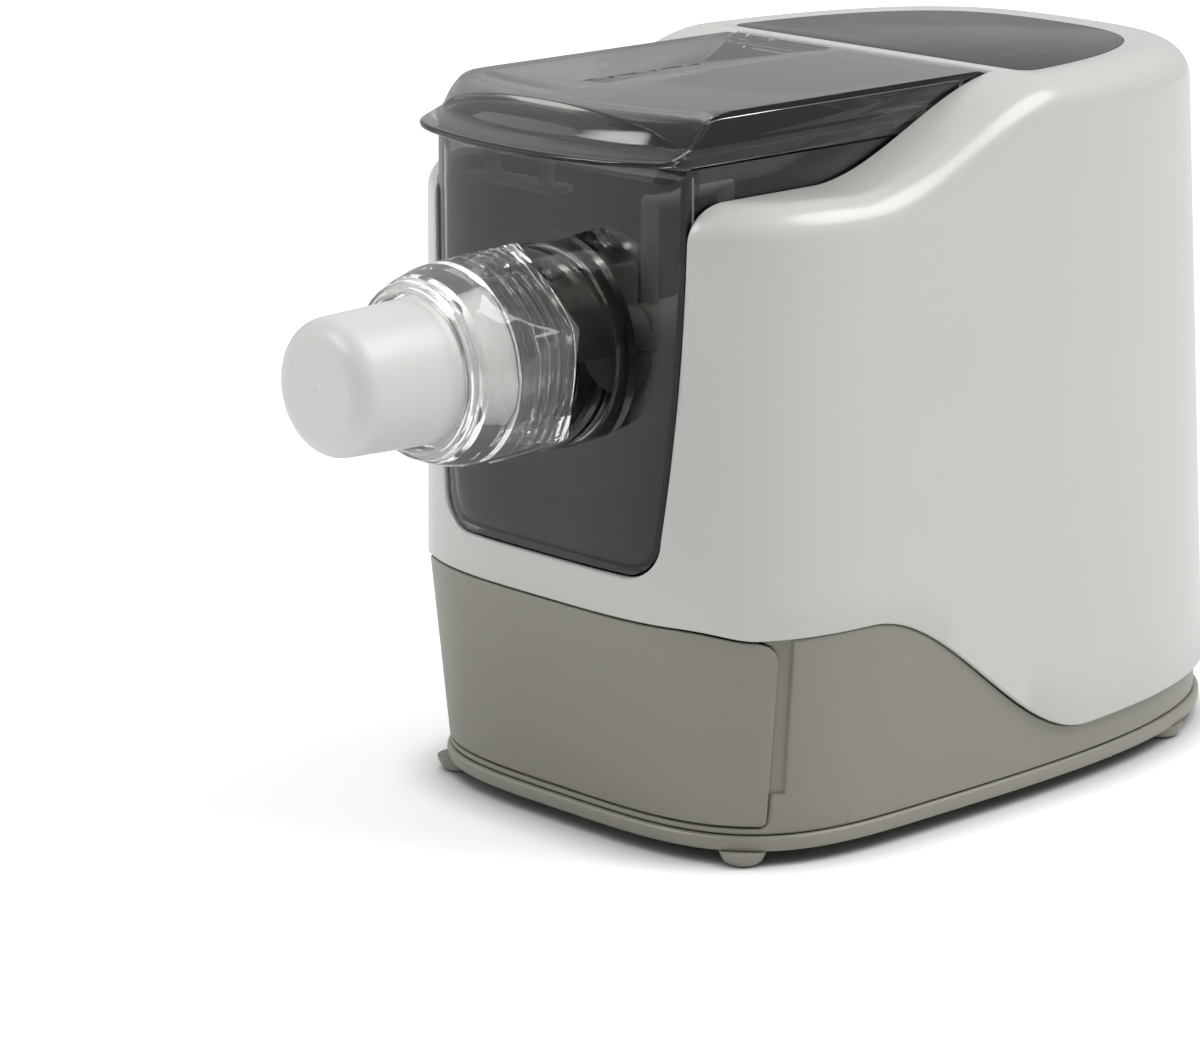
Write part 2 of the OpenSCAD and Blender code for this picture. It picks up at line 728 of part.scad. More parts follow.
module drive_seal() {
    color(rubber_c)
    ring_y(nose_r + bush_play, seal_r, bulkhead_front + 0.3, bulkhead_back - 0.1);
}

// Outline of the gearbox inside, in X and Z
gear_room = 3;
gearbox_w = pitch_out + module_out + gear_room;
gearbox_top = drive_z + gearbox_w;
gearbox_bottom = motor_z - pitch_motor - module_in - gear_room - 2;
function gearbox_outline(g) = let (w = gearbox_w + g)
    [[-w / 2, gearbox_bottom - g], [w / 2, gearbox_bottom - g], [w, lay_z - 28], [w, drive_z + 20],
     [w * 0.66, gearbox_top + g], [-w * 0.66, gearbox_top + g], [-w, drive_z + 20], [-w, lay_z - 28]];
case_screw_xz = [for (sx = [-1, 1]) for (p = [[gearbox_w + 5, drive_z + 8], [gearbox_w + 5, lay_z - 16],
    [gearbox_w / 2 + 11.5, gearbox_bottom + 6]]) [sx * p[0], p[1]]];

module gearbox_case() {
    color(steel_c)
    difference() {
        union() {
            along_y(case_front, case_back) polygon(gearbox_outline(case_t));
            for (p = case_screw_xz) rod_y(4.5, case_front + 10, case_back, p[0], p[1]);
        }
        along_y(case_front + case_t, case_back + 1) polygon(gearbox_outline(0));
        rod_y(nose_r + bush_play + bush_wall, 0, case_back + 1);
        rod_y(lay_r + bush_play + bush_wall, case_front + 1, case_front + case_t + 1, 0, lay_z);
        for (p = case_screw_xz) rod_y(1.6, case_back - 14, case_back + 1, p[0], p[1]);
    }
}

motor_screw_x = 20;
module gearbox_cover() {
    color(steel_c)
    difference() {
        union() {
            along_y(case_back, cover_back) polygon(gearbox_outline(case_t));
            for (p = case_screw_xz) rod_y(4.5, case_back, cover_back, p[0], p[1]);
        }
        rod_y(journal_r + bush_play + bush_wall, 0, far);
        rod_y(lay_r + bush_play + bush_wall, 0, cover_back - 1, 0, lay_z);
        rod_y(8.5, 0, far, 0, motor_z);
        for (p = case_screw_xz) rod_y(1.9, 0, far, p[0], p[1]);
        for (sx = [-1, 1]) rod_y(2.2, 0, far, sx * motor_screw_x, motor_z);
    }
}

module gearbox_screws() {
    color(steel_c)
    for (p = case_screw_xz) {
        rod_y(1.55, case_back - 12, cover_back + 0.1, p[0], p[1]);
        rod_y(3.2, cover_back + 0.05, cover_back + 2.2, p[0], p[1]);
    }
}

module spindle_bushes() {
    color(brass_c) {
        ring_y(nose_r + bush_play, nose_r + bush_play + bush_wall, case_front + 0.1, case_front + 6);
        ring_y(journal_r + bush_play, journal_r + bush_play + bush_wall, case_back - 2, cover_back);
    }
}

module layshaft_bushes() {
    color(brass_c) {
        ring_y(lay_r + bush_play, lay_r + bush_play + bush_wall, case_front + 1, case_front + 6, 0, lay_z);
        ring_y(lay_r + bush_play, lay_r + bush_play + bush_wall, case_back - 2, cover_back - 1, 0, lay_z);
    }
}

// Outline of an involute gear; tooth centres start at angle a0
pressure = 20;
backlash = 0.12;
function inv(a) = tan(a) - a * PI / 180;
function half_tooth(rho, rp, z) = let (rb = rp * cos(pressure), a = acos(min(1, rb / max(rho, rb))))
    90 / z - backlash / rp * 180 / PI + (inv(pressure) - inv(a)) * 180 / PI;
function gear_outline(m, z, a0) = let (rp = m * z / 2, rows = [rp - 1.2 * m, rp, rp + 0.9 * m])
    [for (i = [0:z - 1]) let (a = a0 + i * 360 / z)
        for (k = [0:5]) let (rho = rows[k < 3 ? k : 5 - k], h = half_tooth(rho, rp, z) * (k < 3 ? -1 : 1))
            [rho * cos(a + h), rho * sin(a + h)]];

module gear(m, z, a0, bore, y0, y1, height) {
    difference() {
        translate([0, 0, height]) along_y(y0, y1) polygon(gear_outline(m, z, a0));
        rod_y(bore, y0 - 1, y1 + 1, 0, height);
    }
}

module output_gear() {
    color(steel_c)
    difference() {
        gear(module_out, teeth_out, -90, spindle_r, gear_out_y, gear_out_y + face_out, drive_z);
        for (i = [0:5]) rotate_about(drive_z, i * 60) rod_y(7, 0, far, 0, drive_z + 27);
    }
}

module rotate_about(z, angle) {
    translate([0, 0, z]) rotate([0, angle, 0]) translate([0, 0, -z]) children();
}

module reduction_gear() {
    color(die_c)
    difference() {
        gear(module_in, teeth_in, -90, lay_r, gear_in_y, gear_in_y + face_in, lay_z);
        ring_y(14, 36, gear_in_y - 1, gear_in_y + 1.5, 0, lay_z);
        ring_y(14, 36, gear_in_y + face_in - 1.5, gear_in_y + face_in + 1, 0, lay_z);
    }
}

module lay_pinion() {
    color(steel_c)
    gear(module_out, teeth_pinion, 90 + 180 / teeth_pinion, lay_r,
        gear_out_y - 0.5, gear_out_y + face_out + 0.5, lay_z);
}

module layshaft() {
    color(steel_c) rod_y(lay_r, case_front + 2, cover_back - 1.6, 0, lay_z);
}

module motor_pinion() {
    color(brass_c)
    gear(module_in, teeth_pinion, 90 + 180 / teeth_pinion, motor_shaft_r,
        gear_in_y - 0.5, gear_in_y + face_in + 0.5, motor_z);
}

module drive_spindle() {
    color(steel_c)
    difference() {
        union() {
            rod_y(nose_r, nose_front, nose_back);
            rod_y(spindle_r, nose_back - eps, gear_out_y + face_out + 4);
            rod_y(journal_r, gear_out_y + face_out, cover_back - 0.6);
        }
        translate([0, nose_front + 16, drive_z]) rotate([90, 0, 0])
            cylinder(r = hex_r + hex_play, h = 20, $fn = 6);
    }
}

// ---------------------------------------------------------------- motor

can_front_t = 2;
module motor_can() {
    color(steel_c)
    difference() {
        rod_y(motor_r, cover_back, can_back, 0, motor_z);
        rod_y(motor_r - can_t, cover_back + can_front_t, can_back + 1, 0, motor_z);
        rod_y(motor_shaft_r + bush_play + bush_wall, 0, cover_back + 3, 0, motor_z);
        for (sx = [-1, 1]) rod_y(1.7, 0, cover_back + 3, sx * motor_screw_x, motor_z);
        for (a = [0:60:300]) rotate_about(motor_z, a + 30)
            box([-4, can_back - 18, motor_z + motor_r - 5], [4, can_back - 8, motor_z + motor_r + 1]);
    }
}

magnet_t = 4;
module motor_magnets() {
    color(dark_c)
    difference() {
        ring_y(motor_r - can_t - magnet_t, motor_r - can_t - 0.1, cover_back + 12, can_back - 20,
            0, motor_z);
        box([-6, 0, motor_z - motor_r], [6, far, motor_z + motor_r]);
    }
}

module motor_end_cap() {
    color(dark_c)
    difference() {
        union() {
            rod_y(motor_r, can_back, can_back + cap_t, 0, motor_z);
            rod_y(motor_r - can_t - 0.1, can_back - 3, can_back + eps, 0, motor_z);
        }
        rod_y(motor_r - can_t - 3, can_back - 4, can_back, 0, motor_z);
        rod_y(motor_shaft_r + bush_play + bush_wall, 0, far, 0, motor_z);
        for (a = [45:90:315]) rotate_about(motor_z, a) rod_y(5, 0, far, 0, motor_z + 20);
    }
}

module motor_bushes() {
    color(brass_c) {
        ring_y(motor_shaft_r + bush_play, motor_shaft_r + bush_play + bush_wall, cover_back - 0.5,
            cover_back + 6, 0, motor_z);
        ring_y(motor_shaft_r + bush_play, motor_shaft_r + bush_play + bush_wall, can_back - 1,
            can_back + cap_t + 1, 0, motor_z);
    }
}

commutator_r = 9;
module motor_brushes() {
    color(dark_c)
    for (sz = [-1, 1])
        translate([-3, can_back - 9.5, motor_z + (sz > 0 ? commutator_r + 0.3 : -commutator_r - 14.3)])
            cube([6, 9.4, 14]);
}

module motor_screws() {
    color(steel_c)
    for (sx = [-1, 1]) {
        rod_y(1.6, case_back - 0.2, cover_back + 4, sx * motor_screw_x, motor_z);
        rod_y(3.4, case_back - 2.4, case_back - 0.1, sx * motor_screw_x, motor_z);
    }
}

module motor_cradle() {
    color(dark_c)
    difference() {
        box([-26, cover_back + 20, base_top], [26, cover_back + 44, motor_z - motor_r * 0.4]);
        rod_y(motor_r + 0.3, 0, far, 0, motor_z);
        box([-20, 0, base_top + 4], [20, far, motor_z - motor_r - 6]);
    }
}

module motor_shaft() {
    color(steel_c) rod_y(motor_shaft_r, gear_in_y - 1, shaft_back, 0, motor_z);
}

armature_r = motor_r - can_t - magnet_t - 0.8;
module armature() {
    color(steel_c)
    difference() {
        rod_y(armature_r, cover_back + 14, can_back - 22, 0, motor_z);
        rod_y(motor_shaft_r, 0, far, 0, motor_z);
        for (a = [0:30:330]) rotate_about(motor_z, a)
            box([-1.2, 0, motor_z + armature_r - 7], [1.2, far, motor_z + armature_r + 1]);
    }
}

module commutator() {
    color(brass_c) ring_y(motor_shaft_r, commutator_r, can_back - 13, can_back - 2.5, 0, motor_z);
}

fan_r = 27;
blade_pitch = 35;
blade_t = 1.6;
module cooling_fan() {
    color(dark_c)
    difference() {
        union() {
            rod_y(9, can_back + cap_t + 3, shaft_back, 0, motor_z);
            for (a = [0:45:315]) rotate_about(motor_z, a)
                translate([0, can_back + cap_t + 9.5, motor_z + 6]) rotate([0, 0, blade_pitch])
                    translate([-blade_t / 2, -6, 0]) cube([blade_t, 12, fan_r - 6]);
        }
        rod_y(motor_shaft_r, 0, far, 0, motor_z);
    }
}

// ---------------------------------------------------------------- chamber

module tub_room(y0, y1) {
    along_y(y0, y1) polygon(concat(
        [for (a = [-180:6:0]) [trough_r * cos(a), drive_z + trough_r * sin(a)]],
        [[window_half(drive_z) - smoke_t, drive_z + 12], [window_w - smoke_t, body_h - 25],
         [window_w - smoke_t, window_top], [-window_w + smoke_t, window_top],
         [-window_w + smoke_t, body_h - 25], [-window_half(drive_z) + smoke_t, drive_z + 12]]));
}

module mixing_tub() {
    color(smoke_c)
    difference() {
        along_y(tub_face, tub_back) polygon(window_outline(0, chamber_top));
        tub_room(tub_face - 1, tub_back - smoke_t);
        // hollow skirt under the trough
        difference() {
            along_y(tub_face - 1, tub_back - smoke_t) polygon(window_outline(-smoke_t, window_top));
            rod_y(trough_r + smoke_t, tub_face - 2, tub_back);
            box([-far, tub_face - 2, drive_z - 3], [far, tub_back + 1, far]);
        }
        rod_y(tub_seal_r + 0.05, 0, far);
    }
}

tub_seal_r = 9.5;
shaft_r = 6;
module tub_seal() {
    color(rubber_c) ring_y(shaft_r + bush_play, tub_seal_r, tub_back - smoke_t - 0.5, tub_back + 0.3);
}

// Point of the chamber's bowed front at x and z, set back by inset
function face_y(x, z, inset) = let (k = draft(z), w = shell_w - side_draft * k)
    plan_y - (shell_front - front_draft * k) * pow(1 - pow(abs(x) / w, front_n), 1 / front_n) + inset;

// Solid from the bowed front, set back by inset, to the flat plane y = back
face_cols = 16;
module face_block(inset, back) {
    w = window_w + 4;
    z0 = window_z - 10;
    column_skin([for (i = [0:face_cols]) let (x = -w + 2 * w * i / face_cols)
        [[x, face_y(x, z0, inset), z0], [x, face_y(x, body_h, inset), body_h],
         [x, back, body_h], [x, back, z0]]]);
}

module front_panel() {
    color(smoke_c)
    difference() {
        intersection() {
            face_block(panel_recess, tub_face - 0.1);
            along_y(-far, 0) polygon(window_outline(0, chamber_top));
        }
        intersection() {
            face_block(panel_recess + smoke_t, tub_face + 5);
            along_y(-far, 0) polygon(window_outline(-smoke_t, window_top));
        }
        rod_y(collar_r + 0.4, -far, 0);
    }
}

ledge_z = lid_bottom - 18;
module latch_ledge() {
    back = face_y(0, ledge_z, panel_recess + smoke_t);
    color(smoke_c)
    difference() {
        union() {
            translate([-23, back + 2, ledge_z]) cylinder(r = 25, h = 2.5);
            for (x = [-34, -4]) box([x - 3, back + 1, ledge_z + 2], [x + 3, back + 5, ledge_z + 13]);
        }
        box([-far, -far, 0], [far, back + 2.2, far]);
        box([-far, back + 14, 0], [far, far, far]);
    }
}

tube_flange_front = face_y(0, drive_z, panel_recess + smoke_t) + 1.4;
module extrusion_tube() {
    ridges = floor((thread_l - 2) / thread_pitch);
    ridge = [[tube_r - 1, -0.9], [thread_crest_r, -0.45], [thread_crest_r, 0.45], [tube_r - 1, 0.9]];
    color(smoke_c)
    difference() {
        union() {
            rod_y(tube_r, tube_end, collar_front + eps);
            rod_y(collar_r, collar_front, tube_flange_front + eps);
            rod_y(tube_flange_r, tube_flange_front, tube_flange_front + tube_flange_t);
            for (i = [0:ridges - 1])
                turned_y(ridge, drive_z, tube_end + 2.5 + i * thread_pitch);
        }
        rod_y(tube_bore_r, -far, 0);
    }
}

// ---------------------------------------------------------------- paddle

shaft_front = tube_end + 6;
auger_back = tub_face + 34;
paddle_r = trough_r - 8;
arm_r = 3.2;
module paddle_shaft() {
    color(steel_c) {
        rod_y(shaft_r, shaft_front, tub_back + 1.5);
        rod_y(hex_r, tub_back + 1, nose_front + 14, $fn = 6);
    }
}

module mixing_paddle() {
    hub = 9;
    y0 = auger_back + 2;
    y1 = tub_back - smoke_t - 4;
    mid = (y0 + y1) / 2;
    color(die_c)
    difference() {
        union() {
            rod_y(hub, y0, y1);
            for (s = [-1, 1]) {
                ya = s > 0 ? y0 + 6 : mid + 4;
                yb = s > 0 ? mid - 4 : y1 - 6;
                for (y = [ya, yb])
                    translate([0, y, drive_z]) rotate([s > 0 ? 0 : 180, 0, 0])
                        cylinder(r = arm_r, h = paddle_r);
                rod_y(arm_r, ya, yb, 0, drive_z + s * paddle_r);
                for (y = [ya, yb]) translate([0, y, drive_z + s * paddle_r]) sphere(r = arm_r);
            }
        }
        rod_y(shaft_r, -far, far);
    }
}

module auger() {
    flight = tube_bore_r - 1.2;
    turns = 2.5;
    length = auger_back - shaft_front;
    color(die_c)
    difference() {
        union() {
            rod_y(9, shaft_front, auger_back);
            translate([0, auger_back, drive_z]) rotate([90, 0, 0])
                linear_extrude(height = length, twist = -360 * turns, slices = 60)
                    polygon([[-2, 0], [2, 0], [2.4, flight - 1], [1.6, flight],
                        [-1.6, flight], [-2.4, flight - 1]]);
        }
        rod_y(shaft_r, -far, far);
    }
}

// ---------------------------------------------------------------- die and nut

module die() {
    first = die_face + die_edge_r + 1;
    color(die_c)
    difference() {
        turned_y(concat(
            [[0, die_face]],
            [for (a = [0:15:90])
                [die_r - die_edge_r + die_edge_r * sin(a), die_face + die_edge_r * (1 - cos(a))]],
            [[die_root_r, flange_front], [flange_r, flange_front],
             [flange_r, flange_back], [0, flange_back]]));
        turned_y([[0, die_face + die_t + 1], [die_r - die_edge_r, die_face + die_t + 1],
            [die_r - die_t, die_face + die_edge_r + 2], [die_root_r - die_t, flange_front],
            [die_root_r - die_t, flange_back + 1], [0, flange_back + 1]]);
        for (i = [0:slot_count - 1]) for (x = [-8, 8])
            translate([x - slot_w / 2, first + i * slot_pitch, drive_z - 40]) cube([slot_w, slot_l, 30]);
    }
}

// Slightly bowed hexagon with an edge at 21.3 degrees
function grip_radius(a) = let (off = (a + 338.7) % 60 - 30) grip_flat / cos(off) + 0.4 * cos(3 * off);
module clamp_nut() {
    mid = (nut_nose + nut_nose_l + nut_back) / 2;
    color(clear_c)
    difference() {
        intersection() {
            turned_y([[0, nut_nose], [nut_nose_r - 2.5, nut_nose], [nut_nose_r - 0.7, nut_nose + 0.7],
                [nut_nose_r, nut_nose + 2.5], [nut_nose_r + 0.4, nut_nose + 4.5],
                [nut_nose_r + 2.2, nut_nose + nut_nose_l], [nut_r - 3.7, mid - 5], [nut_r - 2.2, mid],
                [nut_r, nut_back - 8], [nut_r, nut_back], [0, nut_back]]);
            along_y(nut_nose - 1, nut_back + 1) translate([0, drive_z])
                polygon([for (a = [1.3:5:356.3]) grip_radius(a) * [cos(a), sin(a)]]);
        }
        rod_y(die_root_r + nut_play, -far, 0);
        rod_y(flange_r + nut_play, flange_front - 0.3, 0);
        rod_y(nut_bore_r, tube_end - 1, 0);
    }
}

// ---------------------------------------------------------------- lid

function lid_edge(x) = plan_y - lid_front - lid_bow * (1 - pow(x / window_w, 2));

// Upper and lower line of the lid's section, as [distance behind its front edge, height below its top]
lip_k = lid_lip / 24;
lid_upper = [[-23.8, -15.6], [-21.5, -14], [-17, -12.2], [-12.5, -10.4], [-9.5, -8],
    [-4.5, -2.7], [-2.2, -0.7], [0, 0]];
lid_lower = [[2, -2.5], [-0.2, -3], [-2.5, -4.6], [-8.2, -10.2], [-12.5, -13.6],
    [-17.6, -15.6], [-22.2, -17.2], [-23.7, -16.9]];
function lid_profile(x) = let (f = lid_edge(x)) concat(
    [for (p = lid_upper) [x, f + p[0] * lip_k, body_h + p[1]]],
    [[x, hinge_y, body_h], [x, hinge_y, body_h - lid_t]],
    [for (p = lid_lower) [x, f + p[0] * lip_k, body_h + p[1] + (2.5 - lid_t) * (p[0] > -9 ? 1 : 0)]]);
// Height of the lid's underside at distance y behind its front edge
function lid_under(y) = body_h + lookup(y / lip_k, [for (i = [7:-1:0]) lid_lower[i]]);

lid_cols = 16;
lid_xs = [for (i = [0:lid_cols]) -window_w + 2 * window_w * i / lid_cols];
module lid_plate() {
    column_skin([for (x = lid_xs) lid_profile(x)]);
    // rounded back edge about the hinge axis
    along_x(window_w) polygon(concat(
        [[hinge_y - 8, body_h - lid_t], [hinge_y - 6, body_h - 0.5], [hinge_y, body_h]],
        [for (a = [75, 60]) [hinge_y + hinge_drop * cos(a), hinge_z + hinge_drop * sin(a)]],
        [[lid_back, hinge_z + sqrt(hinge_drop * hinge_drop - 42.25)], [lid_back, hinge_z - 4],
         [hinge_y + 4, hinge_z - 6], [hinge_y - 4, hinge_z - 6], [hinge_y - 6.5, hinge_z]]));
}

// Pouring well: four slopes down to a narrow floor
well_x = [-window_w + 1.5, -6.5];
well_y = [plan_y - lid_front + 10, lid_back - 2.5];
floor_x = [-41, -37];
floor_y = [plan_y - 57, plan_y + 11];
module well(top, bottom) {
    polyhedron(
        points = [[well_x[0], well_y[0], top], [well_x[1], well_y[0] + 12, top], [well_x[1], well_y[1], top],
            [well_x[0], well_y[1], top], [floor_x[0], floor_y[0], bottom], [floor_x[1], floor_y[0], bottom],
            [floor_x[1], floor_y[1], bottom], [floor_x[0], floor_y[1], bottom]],
        faces = [[3, 2, 1, 0], [4, 5, 6, 7], [0, 1, 5], [0, 5, 4], [1, 2, 6], [1, 6, 5], [2, 3, 7], [2, 7, 6],
            [3, 0, 4], [3, 4, 7]]);
}

module lid_front_wall() {
    column_skin([for (x = lid_xs)
        let (f = lid_edge(x), y0 = face_y(x, chamber_top, panel_recess), y1 = y0 + lid_t)
        [[x, y0, lid_bottom], [x, y0, lid_under(y0 - f) + 1],
         [x, y1, lid_under(y1 - f) + 1], [x, y1, lid_bottom]]]);
}

module lid() {
    color(smoke_c)
    difference() {
        union() {
            lid_plate();
            translate([0, 0, -lid_t + 0.1]) well(body_h - 0.1, body_h - well_depth);
            lid_front_wall();
            for (x = [-window_w, window_w - lid_t])
                box([x, face_y(window_w, chamber_top, panel_recess) + 0.6, lid_bottom],
                    [x + lid_t, hinge_y - 4, body_h - 1]);
        }
        well(body_h + eps, body_h - well_depth);
        for (i = [0:2])
            box([floor_x[0] + 1, floor_y[0] + 2 + i * 22.5, body_h - 20],
                [floor_x[1] - 1, floor_y[0] + 21 + i * 22.5, body_h]);
        for (sx = [-1, 1])
            translate([sx * window_w, hinge_y, hinge_z]) rotate([0, 90, 0])
                cylinder(r = pin_r + 0.03, h = 24, center = true);
    }
}

module hinge_pins() {
    color(steel_c)
    for (sx = [-1, 1])
        translate([sx > 0 ? window_w - 11.5 : -window_w - 6.5, hinge_y, hinge_z]) rotate([0, 90, 0])
            cylinder(r = pin_r, h = 18);
}

module lid_magnet() {
    color(steel_c)
    box([window_w - lid_t - 3.2, reed_y, lid_bottom + 1],
        [window_w - lid_t - 0.1, reed_y + 10, lid_bottom + 7]);
}

// ---------------------------------------------------------------- drawer

module drawer_solid(inset, top_gap) {
    solid_skin(housing_foot(drawer_z - 4, inset), housing_top(inset, top_gap));
}

module drawer_front() {
    color(taupe_c)
    difference() {
        intersection() {
            drawer_solid(0, seam_gap);
            along_x(far) polygon(drawer_profile);
        }
        difference() {
            drawer_solid(housing_t, -9);
            for (z = [drawer_z + 8, drawer_z + 40])
                box([-44, -far, z], [44, tray_front - 0.1, z + 5]);
        }
    }
}

module drawer_tray() {
    c = 26;
    function tray_plan(g) = [[-tray_w + g, tray_front + c], [-tray_w + c + g, tray_front + g],
        [tray_w - c - g, tray_front + g], [tray_w - g, tray_front + c], [tray_w - g, tray_back - g],
        [-tray_w + g, tray_back - g]];
    color(dark_c)
    difference() {
        translate([0, 0, tray_z]) linear_extrude(tray_h) polygon(tray_plan(0));
        translate([0, 0, tray_z + tray_t]) linear_extrude(tray_h) polygon(tray_plan(tray_t));
    }
}

module drawer_rails() {
    color(dark_c)
    for (sx = [-1, 1])
        mirror([sx < 0 ? 1 : 0, 0, 0]) {
            box([tray_w - 16, tray_front + 28, base_top], [tray_w + 6, tray_back + 8, tray_z - rail_play]);
            box([tray_w + rail_play, tray_front + 28, base_top], [tray_w + 6, tray_back + 8, tray_z + 12]);
        }
}

upper_shell();
lower_housing();
base_plate();
feet();
base_screws();
control_panel();
control_board();
bay_liner();
drive_seal();
gearbox_case();
gearbox_cover();
gearbox_screws();
spindle_bushes();
layshaft_bushes();
motor_can();
motor_magnets();
motor_end_cap();
motor_bushes();
motor_brushes();
motor_screws();
motor_cradle();
power_board();
power_inlet();
reed_switch();
drawer_rails();
motor_shaft();
armature();
commutator();
motor_pinion();
cooling_fan();
layshaft();
reduction_gear();
lay_pinion();
output_gear();
drive_spindle();
mixing_tub();
front_panel();
latch_ledge();
extrusion_tube();
tub_seal();
paddle_shaft();
mixing_paddle();
auger();
die();
clamp_nut();
lid();
lid_magnet();
hinge_pins();
drawer_front();
drawer_tray();
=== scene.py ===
"""Electric pasta maker: detailed covers, finishes, table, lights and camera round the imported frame.

Meshes are drawn in millimetres in the frame's own axes and turned into metres when they are made.
"""

import json
import logging
import math
from dataclasses import dataclass
from enum import Enum
from typing import Callable, Iterable, Optional, Sequence

import bmesh
import bpy
import numpy as np
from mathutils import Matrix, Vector

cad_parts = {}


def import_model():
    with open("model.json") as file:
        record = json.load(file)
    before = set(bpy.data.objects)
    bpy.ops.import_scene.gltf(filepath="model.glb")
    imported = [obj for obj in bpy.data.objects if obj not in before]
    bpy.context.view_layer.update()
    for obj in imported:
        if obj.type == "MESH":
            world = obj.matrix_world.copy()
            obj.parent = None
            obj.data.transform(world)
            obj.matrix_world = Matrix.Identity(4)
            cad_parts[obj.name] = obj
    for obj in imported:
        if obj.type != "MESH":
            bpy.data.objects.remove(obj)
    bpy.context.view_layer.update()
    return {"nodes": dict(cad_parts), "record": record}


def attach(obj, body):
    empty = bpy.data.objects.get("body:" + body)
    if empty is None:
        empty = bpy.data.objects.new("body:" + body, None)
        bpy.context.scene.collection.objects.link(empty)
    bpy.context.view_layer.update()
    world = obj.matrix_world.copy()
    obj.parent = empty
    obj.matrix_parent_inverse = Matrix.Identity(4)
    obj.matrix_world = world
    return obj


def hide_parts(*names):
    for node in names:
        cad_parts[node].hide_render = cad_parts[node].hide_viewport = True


LOG = logging.getLogger("pasta_maker")
MM = 0.001
FAR = 400.0
Ring = np.ndarray
Colour = tuple[float, float, float]
Curve = tuple[tuple[float, float], ...]


# ---------------------------------------------------------------- mesh tools


class End(Enum):
    """How one end of a stack of rings is closed."""

    STRIPS = "strips"
    FLAT = "flat"


def grid_faces(rows: int, count: int, wrap_rows: bool = False) -> list[list[int]]:
    """Quads between neighbouring rings of a stack.

    Args:
        rows: Number of rings.
        count: Points in each ring.
        wrap_rows: Joins the last ring to the first as well.

    Returns:
        The faces as lists of point numbers.
    """
    faces = []
    for row in range(rows if wrap_rows else rows - 1):
        low, high = row * count, ((row + 1) % rows) * count
        for i in range(count):
            j = (i + 1) % count
            faces.append([low + i, low + j, high + j, high + i])
    return faces


def strip_faces(start: int, count: int) -> list[list[int]]:
    """Strips across a ring whose left and right halves mirror each other.

    Args:
        start: Number of the ring's first point, which lies on the +X side.
        count: Points in the ring, a multiple of four.

    Returns:
        The faces, seen from above.
    """
    quarter = count // 4
    faces = []
    for i in range(-quarter + 1, quarter - 1):
        right, right_next = i % count, (i + 1) % count
        left, left_next = (count // 2 - i) % count, (count // 2 - i - 1) % count
        faces.append([start + right, start + right_next, start + left_next, start + left])
    front, back = 3 * quarter, quarter
    faces.append([start + front - 1, start + front, start + (front + 1) % count])
    faces.append([start + back - 1, start + back, start + back + 1])
    return faces


def make_object(name: str, points: np.ndarray, faces: Sequence[Sequence[int]]) -> bpy.types.Object:
    """Makes a mesh object with outward normals.

    Args:
        name: Name of the new object.
        points: Its points in millimetres.
        faces: Its faces as point numbers.

    Returns:
        The linked object.
    """
    mesh = bpy.data.meshes.new(name)
    mesh.from_pydata((np.asarray(points, float) * MM).tolist(), [], [list(f) for f in faces])
    work = bmesh.new()
    work.from_mesh(mesh)
    bmesh.ops.remove_doubles(work, verts=work.verts, dist=1e-6)
    bmesh.ops.recalc_face_normals(work, faces=work.faces)
    work.to_mesh(mesh)
    work.free()
    piece = bpy.data.objects.new(name, mesh)
    bpy.context.scene.collection.objects.link(piece)
    return piece


def stack(name: str, rings: Sequence[Ring], low: End = End.STRIPS, high: End = End.STRIPS,
          wrap: bool = False) -> bpy.types.Object:
    """Skins a stack of rings with equal numbers of points.

    Args:
        name: Name of the new object.
        rings: Arrays of points, one ring after the other.
        low: How the first ring is closed.
        high: How the last ring is closed.
        wrap: Joins the last ring to the first, which makes a closed tube.

    Returns:
        The linked object.
    """
    count = len(rings[0])
    faces = grid_faces(len(rings), count, wrap)
    top = (len(rings) - 1) * count
    if not wrap:
        for end, start in ((low, 0), (high, top)):
            if end is End.STRIPS:
                faces += strip_faces(start, count)
            else:
                faces.append([start + i for i in range(count)])
    return make_object(name, np.concatenate(rings), faces)


def level(outline: np.ndarray, z: float) -> Ring:
    """Lifts a plan outline to a height."""
    return np.column_stack([outline, np.full(len(outline), z)])


def upright(outline: np.ndarray, y: float) -> Ring:
    """Places an outline in X and Z at a depth."""
    return np.column_stack([outline[:, 0], np.full(len(outline), y), outline[:, 1]])


def prism(name: str, plan: np.ndarray, low: float, high: float) -> bpy.types.Object:
    """Makes an upright solid from its plan and the heights of its ends."""
    return stack(name, [level(plan, low), level(plan, high)], End.FLAT, End.FLAT)


def bar(name: str, section: np.ndarray, left: float, right: float) -> bpy.types.Object:
    """Makes a solid along X from its section in Y and Z."""
    rings = [np.column_stack([np.full(len(section), x), section]) for x in (left, right)]
    return stack(name, rings, End.FLAT, End.FLAT)


def block(name: str, low: Sequence[float], high: Sequence[float]) -> bpy.types.Object:
    """Makes a box.

    Args:
        name: Name of the new object.
        low: Its corner with the least coordinates.
        high: Its opposite corner.

    Returns:
        The linked object.
    """
    (x0, y0, z0), (x1, y1, z1) = low, high
    plan = np.array([[x0, y0], [x1, y0], [x1, y1], [x0, y1]])
    return prism(name, plan, z0, z1)


def rod(name: str, radius: float, low: Sequence[float], length: float, steps: int = 32) -> bpy.types.Object:
    """Makes an upright cylinder.

    Args:
        name: Name of the new object.
        radius: Its radius.
        low: Centre of its lower end.
        length: Its height.
        steps: Points round it.

    Returns:
        The linked object.
    """
    turn = np.linspace(0, 2 * math.pi, steps, endpoint=False)
    plan = np.column_stack([low[0] + radius * np.cos(turn), low[1] + radius * np.sin(turn)])
    return prism(name, plan, low[2], low[2] + length)


